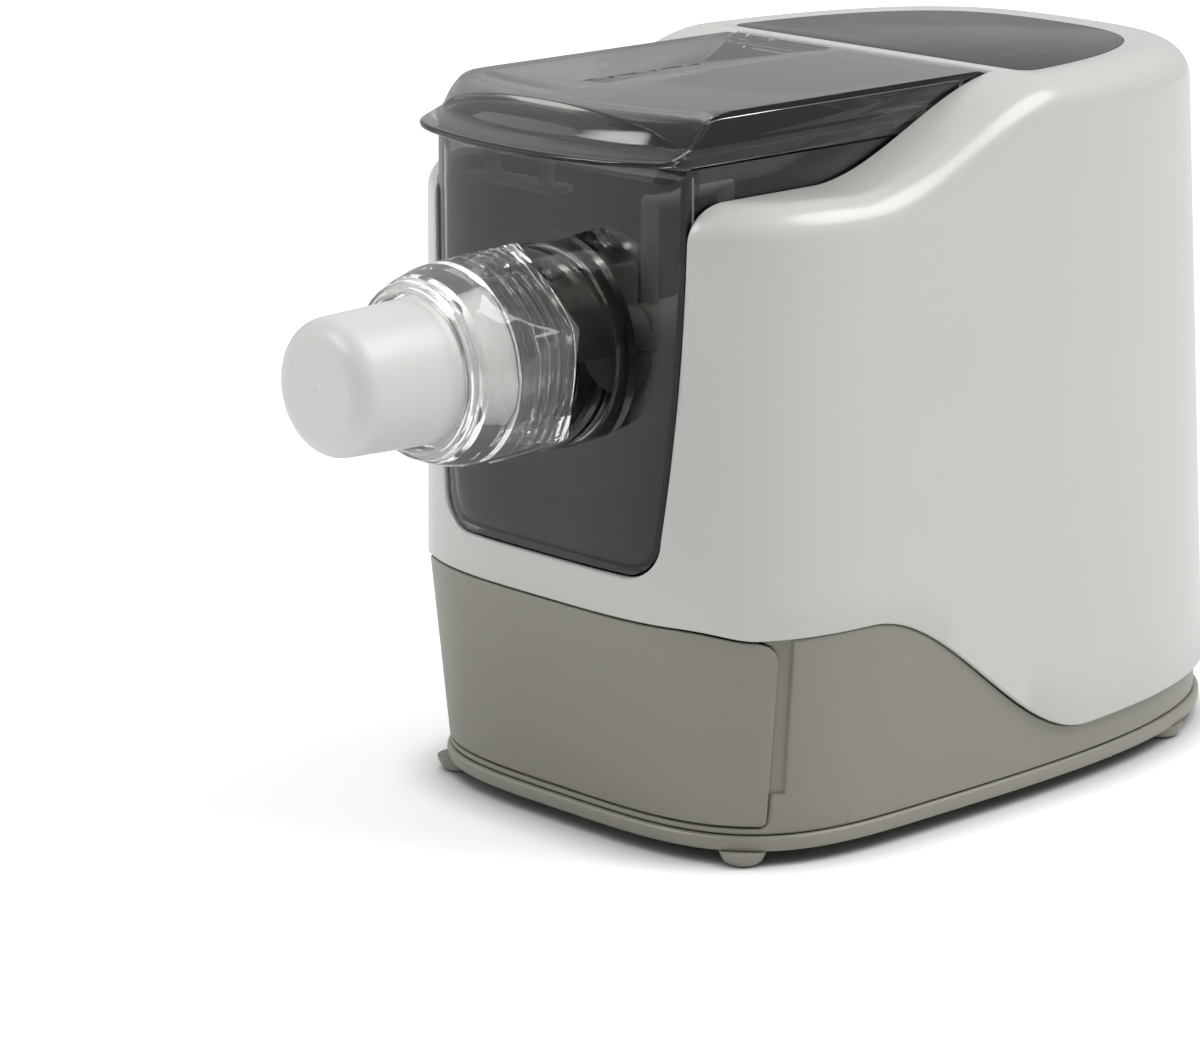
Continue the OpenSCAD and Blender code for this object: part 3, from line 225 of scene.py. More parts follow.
def turned(name: str, profile: Sequence[tuple[float, float]], height: float,
           radius_at: Optional[Callable[[np.ndarray, float, float], np.ndarray]] = None,
           steps: int = 144) -> bpy.types.Object:
    """Turns a closed profile about the line along Y at a height.

    Args:
        name: Name of the new object.
        profile: Points of radius and depth; a point on the axis has radius zero.
        height: Height of the axis.
        radius_at: Gives the true radii for the angles, a profile radius and its depth.
        steps: Points in each ring.

    Returns:
        The linked object.
    """
    turn = np.linspace(0, 2 * math.pi, steps, endpoint=False)
    rings = []
    for radius, depth in profile:
        radii = np.full(steps, radius) if radius_at is None else radius_at(turn, radius, depth)
        rings.append(np.column_stack([radii * np.cos(turn), np.full(steps, depth),
                                      height + radii * np.sin(turn)]))
    return stack(name, rings, wrap=True)


def bake(piece: bpy.types.Object) -> bpy.types.Object:
    """Applies all modifiers of a piece.

    Args:
        piece: The piece to change.

    Returns:
        The same piece, with a plain mesh.
    """
    graph = bpy.context.evaluated_depsgraph_get()
    mesh = bpy.data.meshes.new_from_object(piece.evaluated_get(graph))
    old = piece.data
    piece.modifiers.clear()
    piece.data = mesh
    mesh.name = piece.name
    bpy.data.meshes.remove(old)
    return piece


def combine(piece: bpy.types.Object, others: Iterable[bpy.types.Object],
            operation: str = "DIFFERENCE") -> bpy.types.Object:
    """Cuts, joins or intersects a piece with others, which are used up.

    Args:
        piece: The piece that is kept.
        others: The other solids.
        operation: DIFFERENCE, UNION or INTERSECT.

    Returns:
        The changed piece.
    """
    others = list(others)
    for other in others:
        step = piece.modifiers.new(other.name, "BOOLEAN")
        step.operation = operation
        step.solver = "EXACT"
        step.object = other
    bake(piece)
    for other in others:
        bpy.data.objects.remove(other)
    return piece


def weld(piece: bpy.types.Object, distance: float = 0.05) -> bpy.types.Object:
    """Merges points that lie closer than a distance in millimetres.

    Args:
        piece: The piece to change.
        distance: The distance in millimetres.

    Returns:
        The same piece.
    """
    work = bmesh.new()
    work.from_mesh(piece.data)
    bmesh.ops.remove_doubles(work, verts=work.verts, dist=distance * MM)
    bmesh.ops.dissolve_degenerate(work, dist=distance * MM * 0.5, edges=work.edges)
    work.to_mesh(piece.data)
    work.free()
    return piece


def gather(piece: bpy.types.Object, place: float, reach: float = 0.8) -> None:
    """Merges points close to a flat cut into the nearest point on it, so its edge stays straight.

    Args:
        piece: The piece to change.
        place: Place of the cut along Y in millimetres.
        reach: Longest distance in millimetres from which a point is merged.
    """
    mesh = bmesh.new()
    mesh.from_mesh(piece.data)
    cut = {v for v in mesh.verts if abs(v.co.y - place * MM) < 0.002 * MM}
    moved: dict[bmesh.types.BMVert, bmesh.types.BMVert] = {}
    for point in mesh.verts:
        near = [e for e in point.link_edges if e.calc_length() < reach * MM and e.other_vert(point) in cut]
        if near and point not in cut:
            moved[point] = min(near, key=lambda e: e.calc_length()).other_vert(point)
    bmesh.ops.weld_verts(mesh, targetmap=moved)
    mesh.to_mesh(piece.data)
    mesh.free()


def merge_strays(piece: bpy.types.Object, degrees: float, reach: float = 1.7) -> None:
    """Merges each close pair of points on a straight run of a sharp edge.

    Args:
        piece: The piece to change.
        degrees: Angle above which an edge is sharp.
        reach: Longest distance in millimetres between such points.
    """
    mesh = bmesh.new()
    mesh.from_mesh(piece.data)
    creases = {e for e in mesh.edges if e.calc_face_angle(0.0) > math.radians(degrees)}
    moved: dict[bmesh.types.BMVert, bmesh.types.BMVert] = {}
    kept: set[bmesh.types.BMVert] = set()
    for point in mesh.verts:
        sharp = [e for e in point.link_edges if e in creases]
        if len(sharp) != 2:
            continue
        ways = [e.other_vert(point).co - point.co for e in sharp]
        short = min(sharp, key=lambda e: e.calc_length())
        mate = short.other_vert(point)
        straight = ways[0].angle(ways[1], 0.0) > math.radians(175)
        if straight and short.calc_length() < reach * MM and mate not in moved and point not in kept:
            moved[point] = mate
            kept.add(mate)
    bmesh.ops.weld_verts(mesh, targetmap=moved)
    mesh.to_mesh(piece.data)
    mesh.free()


def soften(piece: bpy.types.Object, width: float, segments: int = 3, degrees: float = 35.0,
           join: float = 0.05, strays: bool = False) -> bpy.types.Object:
    """Rounds every edge that is sharper than an angle.

    Args:
        piece: The piece to change.
        width: Width of the rounding in millimetres.
        segments: Faces across the rounding.
        degrees: Angle above which an edge is rounded.
        join: Distance in millimetres below which points are merged first.
        strays: Whether close points on straight sharp edges are merged too.

    Returns:
        The changed piece.
    """
    weld(piece, join)
    if strays:
        merge_strays(piece, degrees)
    step = piece.modifiers.new("rounding", "BEVEL")
    step.width = width * MM
    step.segments = segments
    step.limit_method = "ANGLE"
    step.angle_limit = math.radians(degrees)
    step.use_clamp_overlap = False
    step.loop_slide = False
    step.miter_outer = "MITER_ARC"
    return bake(piece)


def smooth_shade(piece: bpy.types.Object, degrees: float = 32.0) -> bpy.types.Object:
    """Shades a piece smooth, with creases above an angle.

    Args:
        piece: The piece to change.
        degrees: Angle above which an edge stays sharp.

    Returns:
        The same piece.
    """
    weld(piece, 0.004)
    piece.data.shade_smooth()
    piece.data.set_sharp_from_angle(angle=math.radians(degrees))
    return piece


def through(points: Sequence[Sequence[float]], steps: int = 5) -> np.ndarray:
    """Runs a smooth curve through points.

    Args:
        points: The points, in order.
        steps: Pieces between two points.

    Returns:
        The curve's points, which hold the given ones.
    """
    given = np.asarray(points, float)
    padded = np.vstack([2 * given[0] - given[1], given, 2 * given[-1] - given[-2]])
    curve = []
    for a, b, c, d in zip(padded, padded[1:], padded[2:], padded[3:]):
        for t in np.arange(steps) / steps:
            curve.append(0.5 * (2 * b + (c - a) * t + (2 * a - 5 * b + 4 * c - d) * t ** 2
                                + (3 * b - 3 * c + d - a) * t ** 3))
    curve.append(given[-1])
    return np.array(curve)


def spaced(points: np.ndarray, count: int) -> np.ndarray:
    """Spaces an open line evenly.

    Args:
        points: The line's points.
        count: Number of new points, without the line's end.

    Returns:
        The new points.
    """
    length = np.concatenate([[0], np.cumsum(np.linalg.norm(np.diff(points, axis=0), axis=1))])
    at = np.linspace(0, length[-1], count, endpoint=False)
    return np.column_stack([np.interp(at, length, points[:, k]) for k in range(points.shape[1])])


def round_profile(corner: tuple[float, float], radius: float, first: float, last: float,
                  steps: int = 6) -> list[tuple[float, float]]:
    """Points of an arc in a profile.

    Args:
        corner: Centre of the arc.
        radius: Its radius.
        first: Angle of its start in degrees, from the profile's radius axis.
        last: Angle of its end.
        steps: Pieces of the arc.

    Returns:
        The arc's points as radius and depth.
    """
    angles = np.radians(np.linspace(first, last, steps + 1))
    return [(corner[0] + radius * math.cos(a), corner[1] + radius * math.sin(a)) for a in angles]


# ---------------------------------------------------------------- shared outlines


@dataclass(frozen=True)
class BodyForm:
    """Outlines that the shell, housing, drawer and chamber share, in millimetres."""

    body_h: float = 280.0
    plan_y: float = -0.5
    shell_w: float = 104.5
    shell_front: float = 109.0
    shell_rear: float = 211.0
    side_draft: float = 0.5
    front_draft: float = 1.5
    rear_draft: float = 14.0
    crown_h: float = 30.0
    front_n: float = 3.6
    rear_n: float = 3.0
    shoulder_drop: float = 32.0
    rise_start: float = -37.5
    rise_end: float = 64.5
    seam_front_z: float = 88.0
    seam_rear_z: float = 24.5
    seam_bow: float = 3.5
    bow_start: float = 84.0
    bow_span: float = 18.0
    fall_start: float = -37.5
    fall_end: float = 85.5
    lip_w: float = 102.5
    lip_front: float = 100.0
    lip_rear: float = 217.0
    lip_top: float = 12.0
    housing_step: float = 1.2
    housing_step_rear: float = 3.0
    seam_step: float = 0.8
    window_w: float = 67.5
    window_taper: float = 9.0
    window_n: float = 2.2
    window_drop: float = 25.0
    window_z: float = 108.5
    window_r: float = 15.0
    drive_z: float = 187.5
    chamber_top: float = 260.7
    panel_recess: float = 0.8
    steps: int = 60

    @property
    def angles(self) -> np.ndarray:
        """Angles of the points of a plan outline."""
        return np.radians(np.arange(4 * self.steps) * 90.0 / self.steps)

    @property
    def crown_z(self) -> float:
        """Height at which the walls have their full draft."""
        return self.body_h - self.crown_h

    @property
    def window_full_z(self) -> float:
        """Height from which the chamber front has its full width."""
        return self.body_h - self.window_drop

    def draft_share(self, z: np.ndarray) -> np.ndarray:
        """Share of the full draft at a height."""
        return (z - self.seam_front_z) / (self.crown_z - self.seam_front_z)

    def front_bow(self, share: np.ndarray) -> np.ndarray:
        """Reach of the front curve as a share, at a share of its half width."""
        return (1 - np.abs(share) ** self.front_n) ** (1 / self.front_n)

    @staticmethod
    def ease(t: np.ndarray) -> np.ndarray:
        """Smooth step from 0 to 1."""
        c = np.clip(t, 0, 1)
        return c * c * (3 - 2 * c)

    def shoulder(self, y: np.ndarray) -> np.ndarray:
        """Height of the top face over the depth."""
        rise = self.ease((y - self.plan_y - self.rise_start) / (self.rise_end - self.rise_start))
        return self.body_h - self.shoulder_drop * (1 - rise)

    def seam(self, y: np.ndarray) -> np.ndarray:
        """Height of the wavy seam over the depth.

        Args:
            y: Depths.

        Returns:
            The heights.
        """
        fall = self.ease((y - self.plan_y - self.fall_start) / (self.fall_end - self.fall_start))
        bow = self.ease((self.plan_y - self.bow_start - y) / self.bow_span)
        return self.seam_rear_z + (self.seam_front_z - self.seam_rear_z) * (1 - fall) + self.seam_bow * bow

    def plan(self, half_w: np.ndarray, front: np.ndarray, rear: np.ndarray) -> np.ndarray:
        """Plan outline.

        Args:
            half_w: Half width.
            front: Depth in front of the plan centre.
            rear: Depth behind it.

        Returns:
            Points in X and Y, from +X towards the back.
        """
        c, s = np.cos(self.angles), np.sin(self.angles)
        n = np.where(s < 0, self.front_n, self.rear_n)
        q = (np.abs(c) ** n + np.abs(s) ** n) ** (1 / n)
        return np.column_stack([half_w * c / q, self.plan_y + np.where(s < 0, front, rear) * s / q])

    def shell_at(self, z: np.ndarray, inset: float) -> np.ndarray:
        """Plan of the shell at a height, moved inwards by inset.

        Args:
            z: Height, or one height for each point.
            inset: Distance inside the outer skin.

        Returns:
            Points in X and Y.
        """
        k = self.draft_share(z)
        side, front = self.shell_w - self.side_draft * k, self.shell_front - self.front_draft * k
        return self.plan(side - inset, front - inset, self.shell_rear - self.rear_draft * k - inset)

    def housing_reach(self, z: np.ndarray) -> tuple[np.ndarray, np.ndarray]:
        """Half width of the lower housing at a height, and its reach in front.

        Args:
            z: Height, or one height for each point.

        Returns:
            The half width and the reach.
        """
        k = (z - self.lip_top) / (self.seam_front_z - self.lip_top)
        side = (self.lip_w - self.housing_step) * (1 - k) + (self.shell_w - self.seam_step) * k
        front = (self.lip_front - self.housing_step) * (1 - k) + (self.shell_front - self.seam_step) * k
        return side, front

    def housing_at(self, z: np.ndarray, inset: float) -> np.ndarray:
        """Plan of the lower housing at a height, moved inwards by inset."""
        side, front = self.housing_reach(z)
        return self.plan(side - inset, front - inset, self.lip_rear - self.housing_step_rear - inset)

    def seam_ring(self, inset: float, lift: float) -> Ring:
        """Ring of the shell's skin along the seam, raised by lift."""
        p = self.shell_at(self.seam(self.shell_at(self.seam_front_z, inset)[:, 1]), inset)
        return np.column_stack([p, self.seam(p[:, 1]) + lift])

    def roll_ring(self, degrees: float, inset: float, drop: float, radius: float) -> Ring:
        """Ring of the roll between the shell's walls and its top.

        Args:
            degrees: 0 at the wall, 90 at the top face.
            inset: Distance inside the outer skin.
            drop: Distance below the top face.
            radius: Radius of the roll.

        Returns:
            The ring.
        """
        a = math.radians(degrees)
        d, h = inset + radius * (1 - math.cos(a)), drop + radius * (1 - math.sin(a))
        z = self.shoulder(self.shell_at(self.crown_z, d)[:, 1]) - h
        p = self.shell_at(z, d)
        return np.column_stack([p, self.shoulder(p[:, 1]) - h])

    def housing_top(self, inset: float, down: float) -> Ring:
        """Ring of the housing's skin below the seam by down.

        Args:
            inset: Distance inside the outer skin.
            down: Distance below the seam.

        Returns:
            The ring.
        """
        z = self.seam(self.housing_at(self.seam_front_z, inset)[:, 1]) - down
        p = self.housing_at(z, inset)
        return np.column_stack([p, self.seam(p[:, 1]) - down])

    def face_y(self, x: np.ndarray, z: np.ndarray, inset: float) -> np.ndarray:
        """Depth of the bowed front at x and z, set back by inset.

        Args:
            x: Places across the front.
            z: Their heights.
            inset: Distance behind the front.

        Returns:
            The depths.
        """
        k = self.draft_share(z)
        bow = self.front_bow(x / (self.shell_w - self.side_draft * k))
        return self.plan_y - (self.shell_front - self.front_draft * k) * bow + inset

    def window_half(self, z: np.ndarray) -> np.ndarray:
        """Half width of the chamber front above its rounded corners.

        Args:
            z: Heights.

        Returns:
            The half widths.
        """
        span = self.window_full_z - self.window_z - self.window_r
        drop = np.maximum(0, self.window_full_z - z) / span
        return self.window_w - self.window_taper * drop ** self.window_n

    def window_side(self, grow: float, top: float) -> np.ndarray:
        """Right half of the chamber front's outline, from its lower edge upwards.

        Args:
            grow: Distance outside the outline.
            top: Height of the upper end.

        Returns:
            Points in X and Z.
        """
        low = self.window_z + self.window_r
        corner = self.window_half(low) - self.window_r
        arc = np.radians(np.arange(-90, 0, 6))
        bend = np.column_stack([corner + (self.window_r + grow) * np.cos(arc),
                                low + (self.window_r + grow) * np.sin(arc)])
        z = np.append(np.linspace(low, self.window_full_z, 24), top)
        z = z[z <= top]
        return np.vstack([bend, np.column_stack([self.window_half(z) + grow, z])])

    def window(self, grow: float, top: float) -> np.ndarray:
        """Whole outline of the chamber front, grown outwards, up to a height."""
        side = self.window_side(grow, top)
        return np.vstack([side, side[::-1] * [-1, 1]])


FORM = BodyForm()


# ---------------------------------------------------------------- shader tools


class Nodes:
    """Adds nodes to a node tree in few words."""

    def __init__(self, tree: bpy.types.NodeTree) -> None:
        """Takes the tree that the nodes go to."""
        self.tree = tree

    def add(self, kind: str, inputs: Optional[dict] = None, **settings: object) -> bpy.types.Node:
        """Adds a node.

        Args:
            kind: Type name of the node.
            inputs: Values or output sockets for its inputs, by name or number.
            **settings: Attributes of the node.

        Returns:
            The new node.
        """
        node = self.tree.nodes.new(kind)
        for key, value in settings.items():
            setattr(node, key, value)
        for key, value in (inputs or {}).items():
            socket = node.inputs[key]
            if isinstance(value, bpy.types.NodeSocket):
                self.tree.links.new(value, socket)
            else:
                socket.default_value = value
        return node

    def math(self, operation: str, a: object, b: object = 0.0) -> bpy.types.NodeSocket:
        """Adds a Math node and returns its output."""
        return self.add("ShaderNodeMath", {0: a, 1: b}, operation=operation).outputs[0]

    def plus(self, a: object, b: object) -> bpy.types.NodeSocket:
        """Adds two values."""
        return self.math("ADD", a, b)

    def minus(self, a: object, b: object) -> bpy.types.NodeSocket:
        """Takes b from a."""
        return self.math("SUBTRACT", a, b)

    def times(self, a: object, b: object) -> bpy.types.NodeSocket:
        """Multiplies two values."""
        return self.math("MULTIPLY", a, b)

    def larger(self, a: object, b: object) -> bpy.types.NodeSocket:
        """Returns the larger of two values."""
        return self.math("MAXIMUM", a, b)

    def below(self, a: object, b: object) -> bpy.types.NodeSocket:
        """Returns 1 where a is less than b, else 0."""
        return self.math("LESS_THAN", a, b)

    def above(self, a: object, b: object) -> bpy.types.NodeSocket:
        """Returns 1 where a is more than b, else 0."""
        return self.math("GREATER_THAN", a, b)

    def size(self, a: object) -> bpy.types.NodeSocket:
        """Returns a value without its sign."""
        return self.math("ABSOLUTE", a)

    def noise(self, place: bpy.types.NodeSocket, scale: float, detail: float) -> bpy.types.NodeSocket:
        """Adds a noise texture at a place and returns its value."""
        inputs = {"Vector": place, "Scale": scale, "Detail": detail}
        return self.add("ShaderNodeTexNoise", inputs).outputs["Fac"]

    def vector(self, operation: str, a: object, b: object) -> bpy.types.Node:
        """Adds a Vector Math node and returns it."""
        return self.add("ShaderNodeVectorMath", {0: a, 1: b}, operation=operation)

    def mix(self, factor: object, a: object, b: object) -> bpy.types.NodeSocket:
        """Adds a colour mix and returns its output."""
        node = self.add("ShaderNodeMix", {0: factor, 6: a, 7: b}, data_type="RGBA")
        return node.outputs[2]

    def ramp(self, value: object, low: float, high: float, to_low: float = 0.0,
             to_high: float = 1.0) -> bpy.types.NodeSocket:
        """Adds a clamped Map Range node and returns its output."""
        node = self.add("ShaderNodeMapRange", {0: value, 1: low, 2: high, 3: to_low, 4: to_high})
        return node.outputs[0]


def new_group(name: str, inputs: dict[str, tuple[str, object]],
              outputs: dict[str, str]) -> bpy.types.NodeTree:
    """Makes an empty shader node group.

    Args:
        name: Name of the group.
        inputs: Socket kind and default value by name.
        outputs: Socket kind by name.

    Returns:
        The group, with its input and output nodes.
    """
    tree = bpy.data.node_groups.new(name, "ShaderNodeTree")
    for label, (kind, value) in inputs.items():
        socket = tree.interface.new_socket(label, in_out="INPUT", socket_type="NodeSocket" + kind)
        socket.default_value = value
    for label, kind in outputs.items():
        tree.interface.new_socket(label, in_out="OUTPUT", socket_type="NodeSocket" + kind)
    tree.nodes.new("NodeGroupInput")
    tree.nodes.new("NodeGroupOutput")
    return tree


class Effects:
    """Shader node groups that the finishes share."""

    def __init__(self) -> None:
        """Builds each group once."""
        self.tone_drift = self._tone_drift()
        self.mould_grain = self._mould_grain()
        self.wiped_gloss = self._wiped_gloss()
        self.lathe_lines = self._lathe_lines()

    @staticmethod
    def _ends(tree: bpy.types.NodeTree) -> tuple[Nodes, bpy.types.Node, bpy.types.Node]:
        """Returns a node helper with the group's input and output nodes."""
        return Nodes(tree), tree.nodes["Group Input"], tree.nodes["Group Output"]

    @staticmethod
    def _place(nodes: Nodes, scale: object) -> bpy.types.NodeSocket:
        """Returns object coordinates times a scale."""
        place = nodes.add("ShaderNodeTexCoord").outputs["Object"]
        return nodes.add("ShaderNodeVectorMath", {0: place, 3: scale}, operation="SCALE").outputs[0]

    def _tone_drift(self) -> bpy.types.NodeTree:
        """Builds a slow change of tone over a moulding, with a finer one on top.

        Returns:
            The group.
        """
        inputs = {"Color": ("Color", (0.5, 0.5, 0.5, 1)), "Other": ("Color", (0.4, 0.4, 0.4, 1)),
                  "Scale": ("Float", 8.0)}
        tree = new_group("tone_drift", inputs, {"Color": "Color"})
        nodes, start, end = self._ends(tree)
        at = self._place(nodes, start.outputs["Scale"])
        slow = nodes.noise(at, 1.0, 2.0)
        fine = nodes.noise(at, 9.0, 3.0)
        share = nodes.ramp(nodes.plus(nodes.times(slow, 0.8), nodes.times(fine, 0.2)), 0.3, 0.7)
        mixed = nodes.mix(share, start.outputs["Color"], start.outputs["Other"])
        tree.links.new(mixed, end.inputs["Color"])
        return tree

    def _mould_grain(self) -> bpy.types.NodeTree:
        """Builds the fine spark-eroded texture of a mould, as a height.

        Returns:
            The group.
        """
        inputs = {"Scale": ("Float", 900.0), "Depth": ("Float", 1.0)}
        tree = new_group("mould_grain", inputs, {"Height": "Float"})
        nodes, start, end = self._ends(tree)
        at = self._place(nodes, start.outputs["Scale"])
        pits = nodes.add("ShaderNodeTexVoronoi", {"Vector": at, "Scale": 1.0}, feature="SMOOTH_F1")
        haze = nodes.noise(at, 0.6, 3.0)
        height = nodes.times(nodes.plus(pits.outputs["Distance"], haze), start.outputs["Depth"])
        tree.links.new(height, end.inputs["Height"])
        return tree

    def _wiped_gloss(self) -> bpy.types.NodeTree:
        """Builds the roughness of a surface that is wiped by hand: broad patches and faint streaks.

        Returns:
            The group.
        """
        inputs = {"Low": ("Float", 0.2), "High": ("Float", 0.4), "Scale": ("Float", 14.0)}
        tree = new_group("wiped_gloss", inputs, {"Roughness": "Float"})
        nodes, start, end = self._ends(tree)
        at = self._place(nodes, start.outputs["Scale"])
        patches = nodes.noise(at, 1.0, 4.0)
        long = nodes.vector("MULTIPLY", at, (1.0, 0.25, 6.0)).outputs[0]
        streaks = nodes.noise(long, 2.5, 2.0)
        share = nodes.plus(nodes.times(patches, 0.7), nodes.times(streaks, 0.3))
        spread = nodes.minus(start.outputs["High"], start.outputs["Low"])
        scaled = nodes.times(nodes.ramp(share, 0.32, 0.68), spread)
        tree.links.new(nodes.plus(scaled, start.outputs["Low"]), end.inputs["Roughness"])
        return tree

    def _lathe_lines(self) -> bpy.types.NodeTree:
        """Builds fine lines across the turning axis, which lies along Y.

        Returns:
            The group.
        """
        tree = new_group("lathe_lines", {"Scale": ("Float", 1500.0)}, {"Value": "Float"})
        nodes, start, end = self._ends(tree)
        at = self._place(nodes, start.outputs["Scale"])
        flat = nodes.vector("MULTIPLY", at, (0.02, 1.0, 0.02)).outputs[0]
        tree.links.new(nodes.noise(flat, 1.0, 3.0), end.inputs["Value"])
        return tree


class Finish:
    """Base of the finishes: a material with a Principled shader and access to the shared effects."""

    effects: Effects

    def start(self, name: str) -> tuple[bpy.types.Material, Nodes, bpy.types.Node]:
        """Makes an empty material.

        Args:
            name: Name of the material.

        Returns:
            The material, its node helper and its Principled shader.
        """
        material = bpy.data.materials.new(name)
        material.use_nodes = True
        material.node_tree.nodes.clear()
        nodes = Nodes(material.node_tree)
        shader = nodes.add("ShaderNodeBsdfPrincipled")
        nodes.add("ShaderNodeOutputMaterial", {"Surface": shader.outputs[0]})
        return material, nodes, shader

    def group(self, nodes: Nodes, tree: bpy.types.NodeTree, **inputs: object) -> bpy.types.Node:
        """Places a shared effect with its own values."""
        return nodes.add("ShaderNodeGroup", inputs, node_tree=tree)

    def grain_height(self, nodes: Nodes, scale: float) -> bpy.types.NodeSocket:
        """Places the mould grain at a scale and returns its height."""
        return self.group(nodes, self.effects.mould_grain, Scale=scale, Depth=1.0).outputs["Height"]

    def tones(self, nodes: Nodes, colour: Colour, drift: float, scale: float) -> bpy.types.NodeSocket:
        """Colour that drifts a little darker or lighter.

        Args:
            nodes: Helper of the material's tree.
            colour: The main colour, linear.
            drift: Share by which it changes.
            scale: Scale of the change per metre.

        Returns:
            The colour output.
        """
        other = tuple(c * (1 - drift) for c in colour)
        tinted = self.group(nodes, self.effects.tone_drift, Color=(*colour, 1), Other=(*other, 1),
                            Scale=scale)
        return tinted.outputs["Color"]

    def gloss(self, nodes: Nodes, shader: bpy.types.Node, low: float, high: float,
              scale: float = 14.0) -> None:
        """Links a wiped roughness to a shader."""
        wiped = self.group(nodes, self.effects.wiped_gloss, Low=low, High=high, Scale=scale)
        nodes.tree.links.new(wiped.outputs["Roughness"], shader.inputs["Roughness"])

    def relief(self, nodes: Nodes, shader: bpy.types.Node, height: bpy.types.NodeSocket, strength: float,
               distance: float) -> None:
        """Links a height to a shader's normal.

        Args:
            nodes: Helper of the material's tree.
            shader: The shader.
            height: The height output.
            strength: Strength of the bump.
            distance: Its depth in millimetres.
        """
        inputs = {"Strength": strength, "Distance": distance * MM, "Height": height}
        bump = nodes.add("ShaderNodeBump", inputs)
        nodes.tree.links.new(bump.outputs[0], shader.inputs["Normal"])


@dataclass(frozen=True)
class MouldedPlastic(Finish):
    """Opaque moulded plastic with a fine mould grain."""

    name: str
    colour: Colour
    drift: float = 0.05
    low: float = 0.3
    high: float = 0.42
    grain: float = 0.12
    coat: float = 0.0
    scatter: float = 0.0
    tone_scale: float = 7.0
    grain_scale: float = 1100.0
    grain_depth: float = 0.05
    coat_roughness: float = 0.12
    scatter_reach: float = 4.0

    def build(self) -> bpy.types.Material:
        """Builds the material.

        Returns:
            The material.
        """
        material, nodes, shader = self.start(self.name)
        colour = self.tones(nodes, self.colour, self.drift, self.tone_scale)
        nodes.tree.links.new(colour, shader.inputs["Base Color"])
        self.gloss(nodes, shader, self.low, self.high)
        if self.grain:
            height = self.grain_height(nodes, self.grain_scale)
            self.relief(nodes, shader, height, self.grain, self.grain_depth)
        shader.inputs["Coat Weight"].default_value = self.coat
        shader.inputs["Coat Roughness"].default_value = self.coat_roughness
        shader.inputs["Subsurface Weight"].default_value = self.scatter
        shader.inputs["Subsurface Scale"].default_value = self.scatter_reach * MM
        return material


@dataclass(frozen=True)
class ClearPlastic(Finish):
    """Clear or smoked plastic. Shadow rays pass it with its tint."""

    name: str
    tint: Colour
    shadow: Colour
    drift: float = 0.06
    low: float = 0.02
    high: float = 0.06
    clear: float = 1.0
    tone_scale: float = 5.0
    gloss_scale: float = 20.0
    refraction: float = 1.49

    def build(self) -> bpy.types.Material:
        """Builds the material.

        Returns:
            The material.
        """
        material, nodes, shader = self.start(self.name)
        colour = self.tones(nodes, self.tint, self.drift, self.tone_scale)
        nodes.tree.links.new(colour, shader.inputs["Base Color"])
        self.gloss(nodes, shader, self.low, self.high, self.gloss_scale)
        shader.inputs["IOR"].default_value = self.refraction
        shader.inputs["Transmission Weight"].default_value = self.clear
        passing = nodes.add("ShaderNodeBsdfTransparent", {"Color": (*self.shadow, 1)}).outputs[0]
        in_shadow = nodes.add("ShaderNodeLightPath").outputs["Is Shadow Ray"]
        both = nodes.add("ShaderNodeMixShader", {0: in_shadow, 1: shader.outputs[0], 2: passing})
        output = next(n for n in nodes.tree.nodes if n.type == "OUTPUT_MATERIAL")
        nodes.tree.links.new(both.outputs[0], output.inputs["Surface"])
        return material


@dataclass(frozen=True)
class SmokedPlastic(ClearPlastic):
    """Smoked plastic with painted shade: darker on the chamber's front, its upright corners and the lid
    lip's rim.
    """

    front_shade_y: float = -96.05
    corner_shade_x: float = 65.4
    corner_shade_y: float = -93.5
    rim_shade_y: float = -98.0
    rim_shade_z: tuple[float, float] = (262.0, 264.5)
    painted_shade_share: float = 0.12
    front: float = 0.7

    def tones(self, nodes: Nodes, colour: Colour, drift: float, scale: float) -> bpy.types.NodeSocket:
        """Paints shade into the colour: darker on the chamber's front, much darker on its upright corners
        and on the lid lip's rim.

        Args:
            nodes: Helper of the material's tree.
            colour: The main colour, linear.
            drift: Share by which it changes.
            scale: Scale of the change per metre.

        Returns:
            The colour output.
        """
        plain = super().tones(nodes, colour, drift, scale)
        axes = nodes.add("ShaderNodeSeparateXYZ", {0: nodes.add("ShaderNodeTexCoord").outputs["Object"]})
        across = nodes.size(axes.outputs["X"])
        y, z = axes.outputs["Y"], axes.outputs["Z"]
        low, high = self.rim_shade_z
        chamber = nodes.below(z, (FORM.chamber_top + 0.5) * MM)
        panel = nodes.times(nodes.below(y, self.front_shade_y * MM), chamber)
        corner = nodes.times(nodes.above(across, self.corner_shade_x * MM), nodes.below(y, self.corner_shade_y * MM))
        ahead = nodes.below(y, self.rim_shade_y * MM)
        band = nodes.times(nodes.above(z, low * MM), nodes.below(z, high * MM))
        rim = nodes.times(ahead, band)
        edge = nodes.larger(nodes.times(corner, chamber), rim)
        # Painted shade: the chamber's front is darkened, and its upright corners and the lid lip's rim much
        # more.
        tinted = nodes.mix(panel, plain, (*(c * self.front for c in colour), 1))
        return nodes.mix(edge, tinted, (*(c * self.painted_shade_share for c in colour), 1))


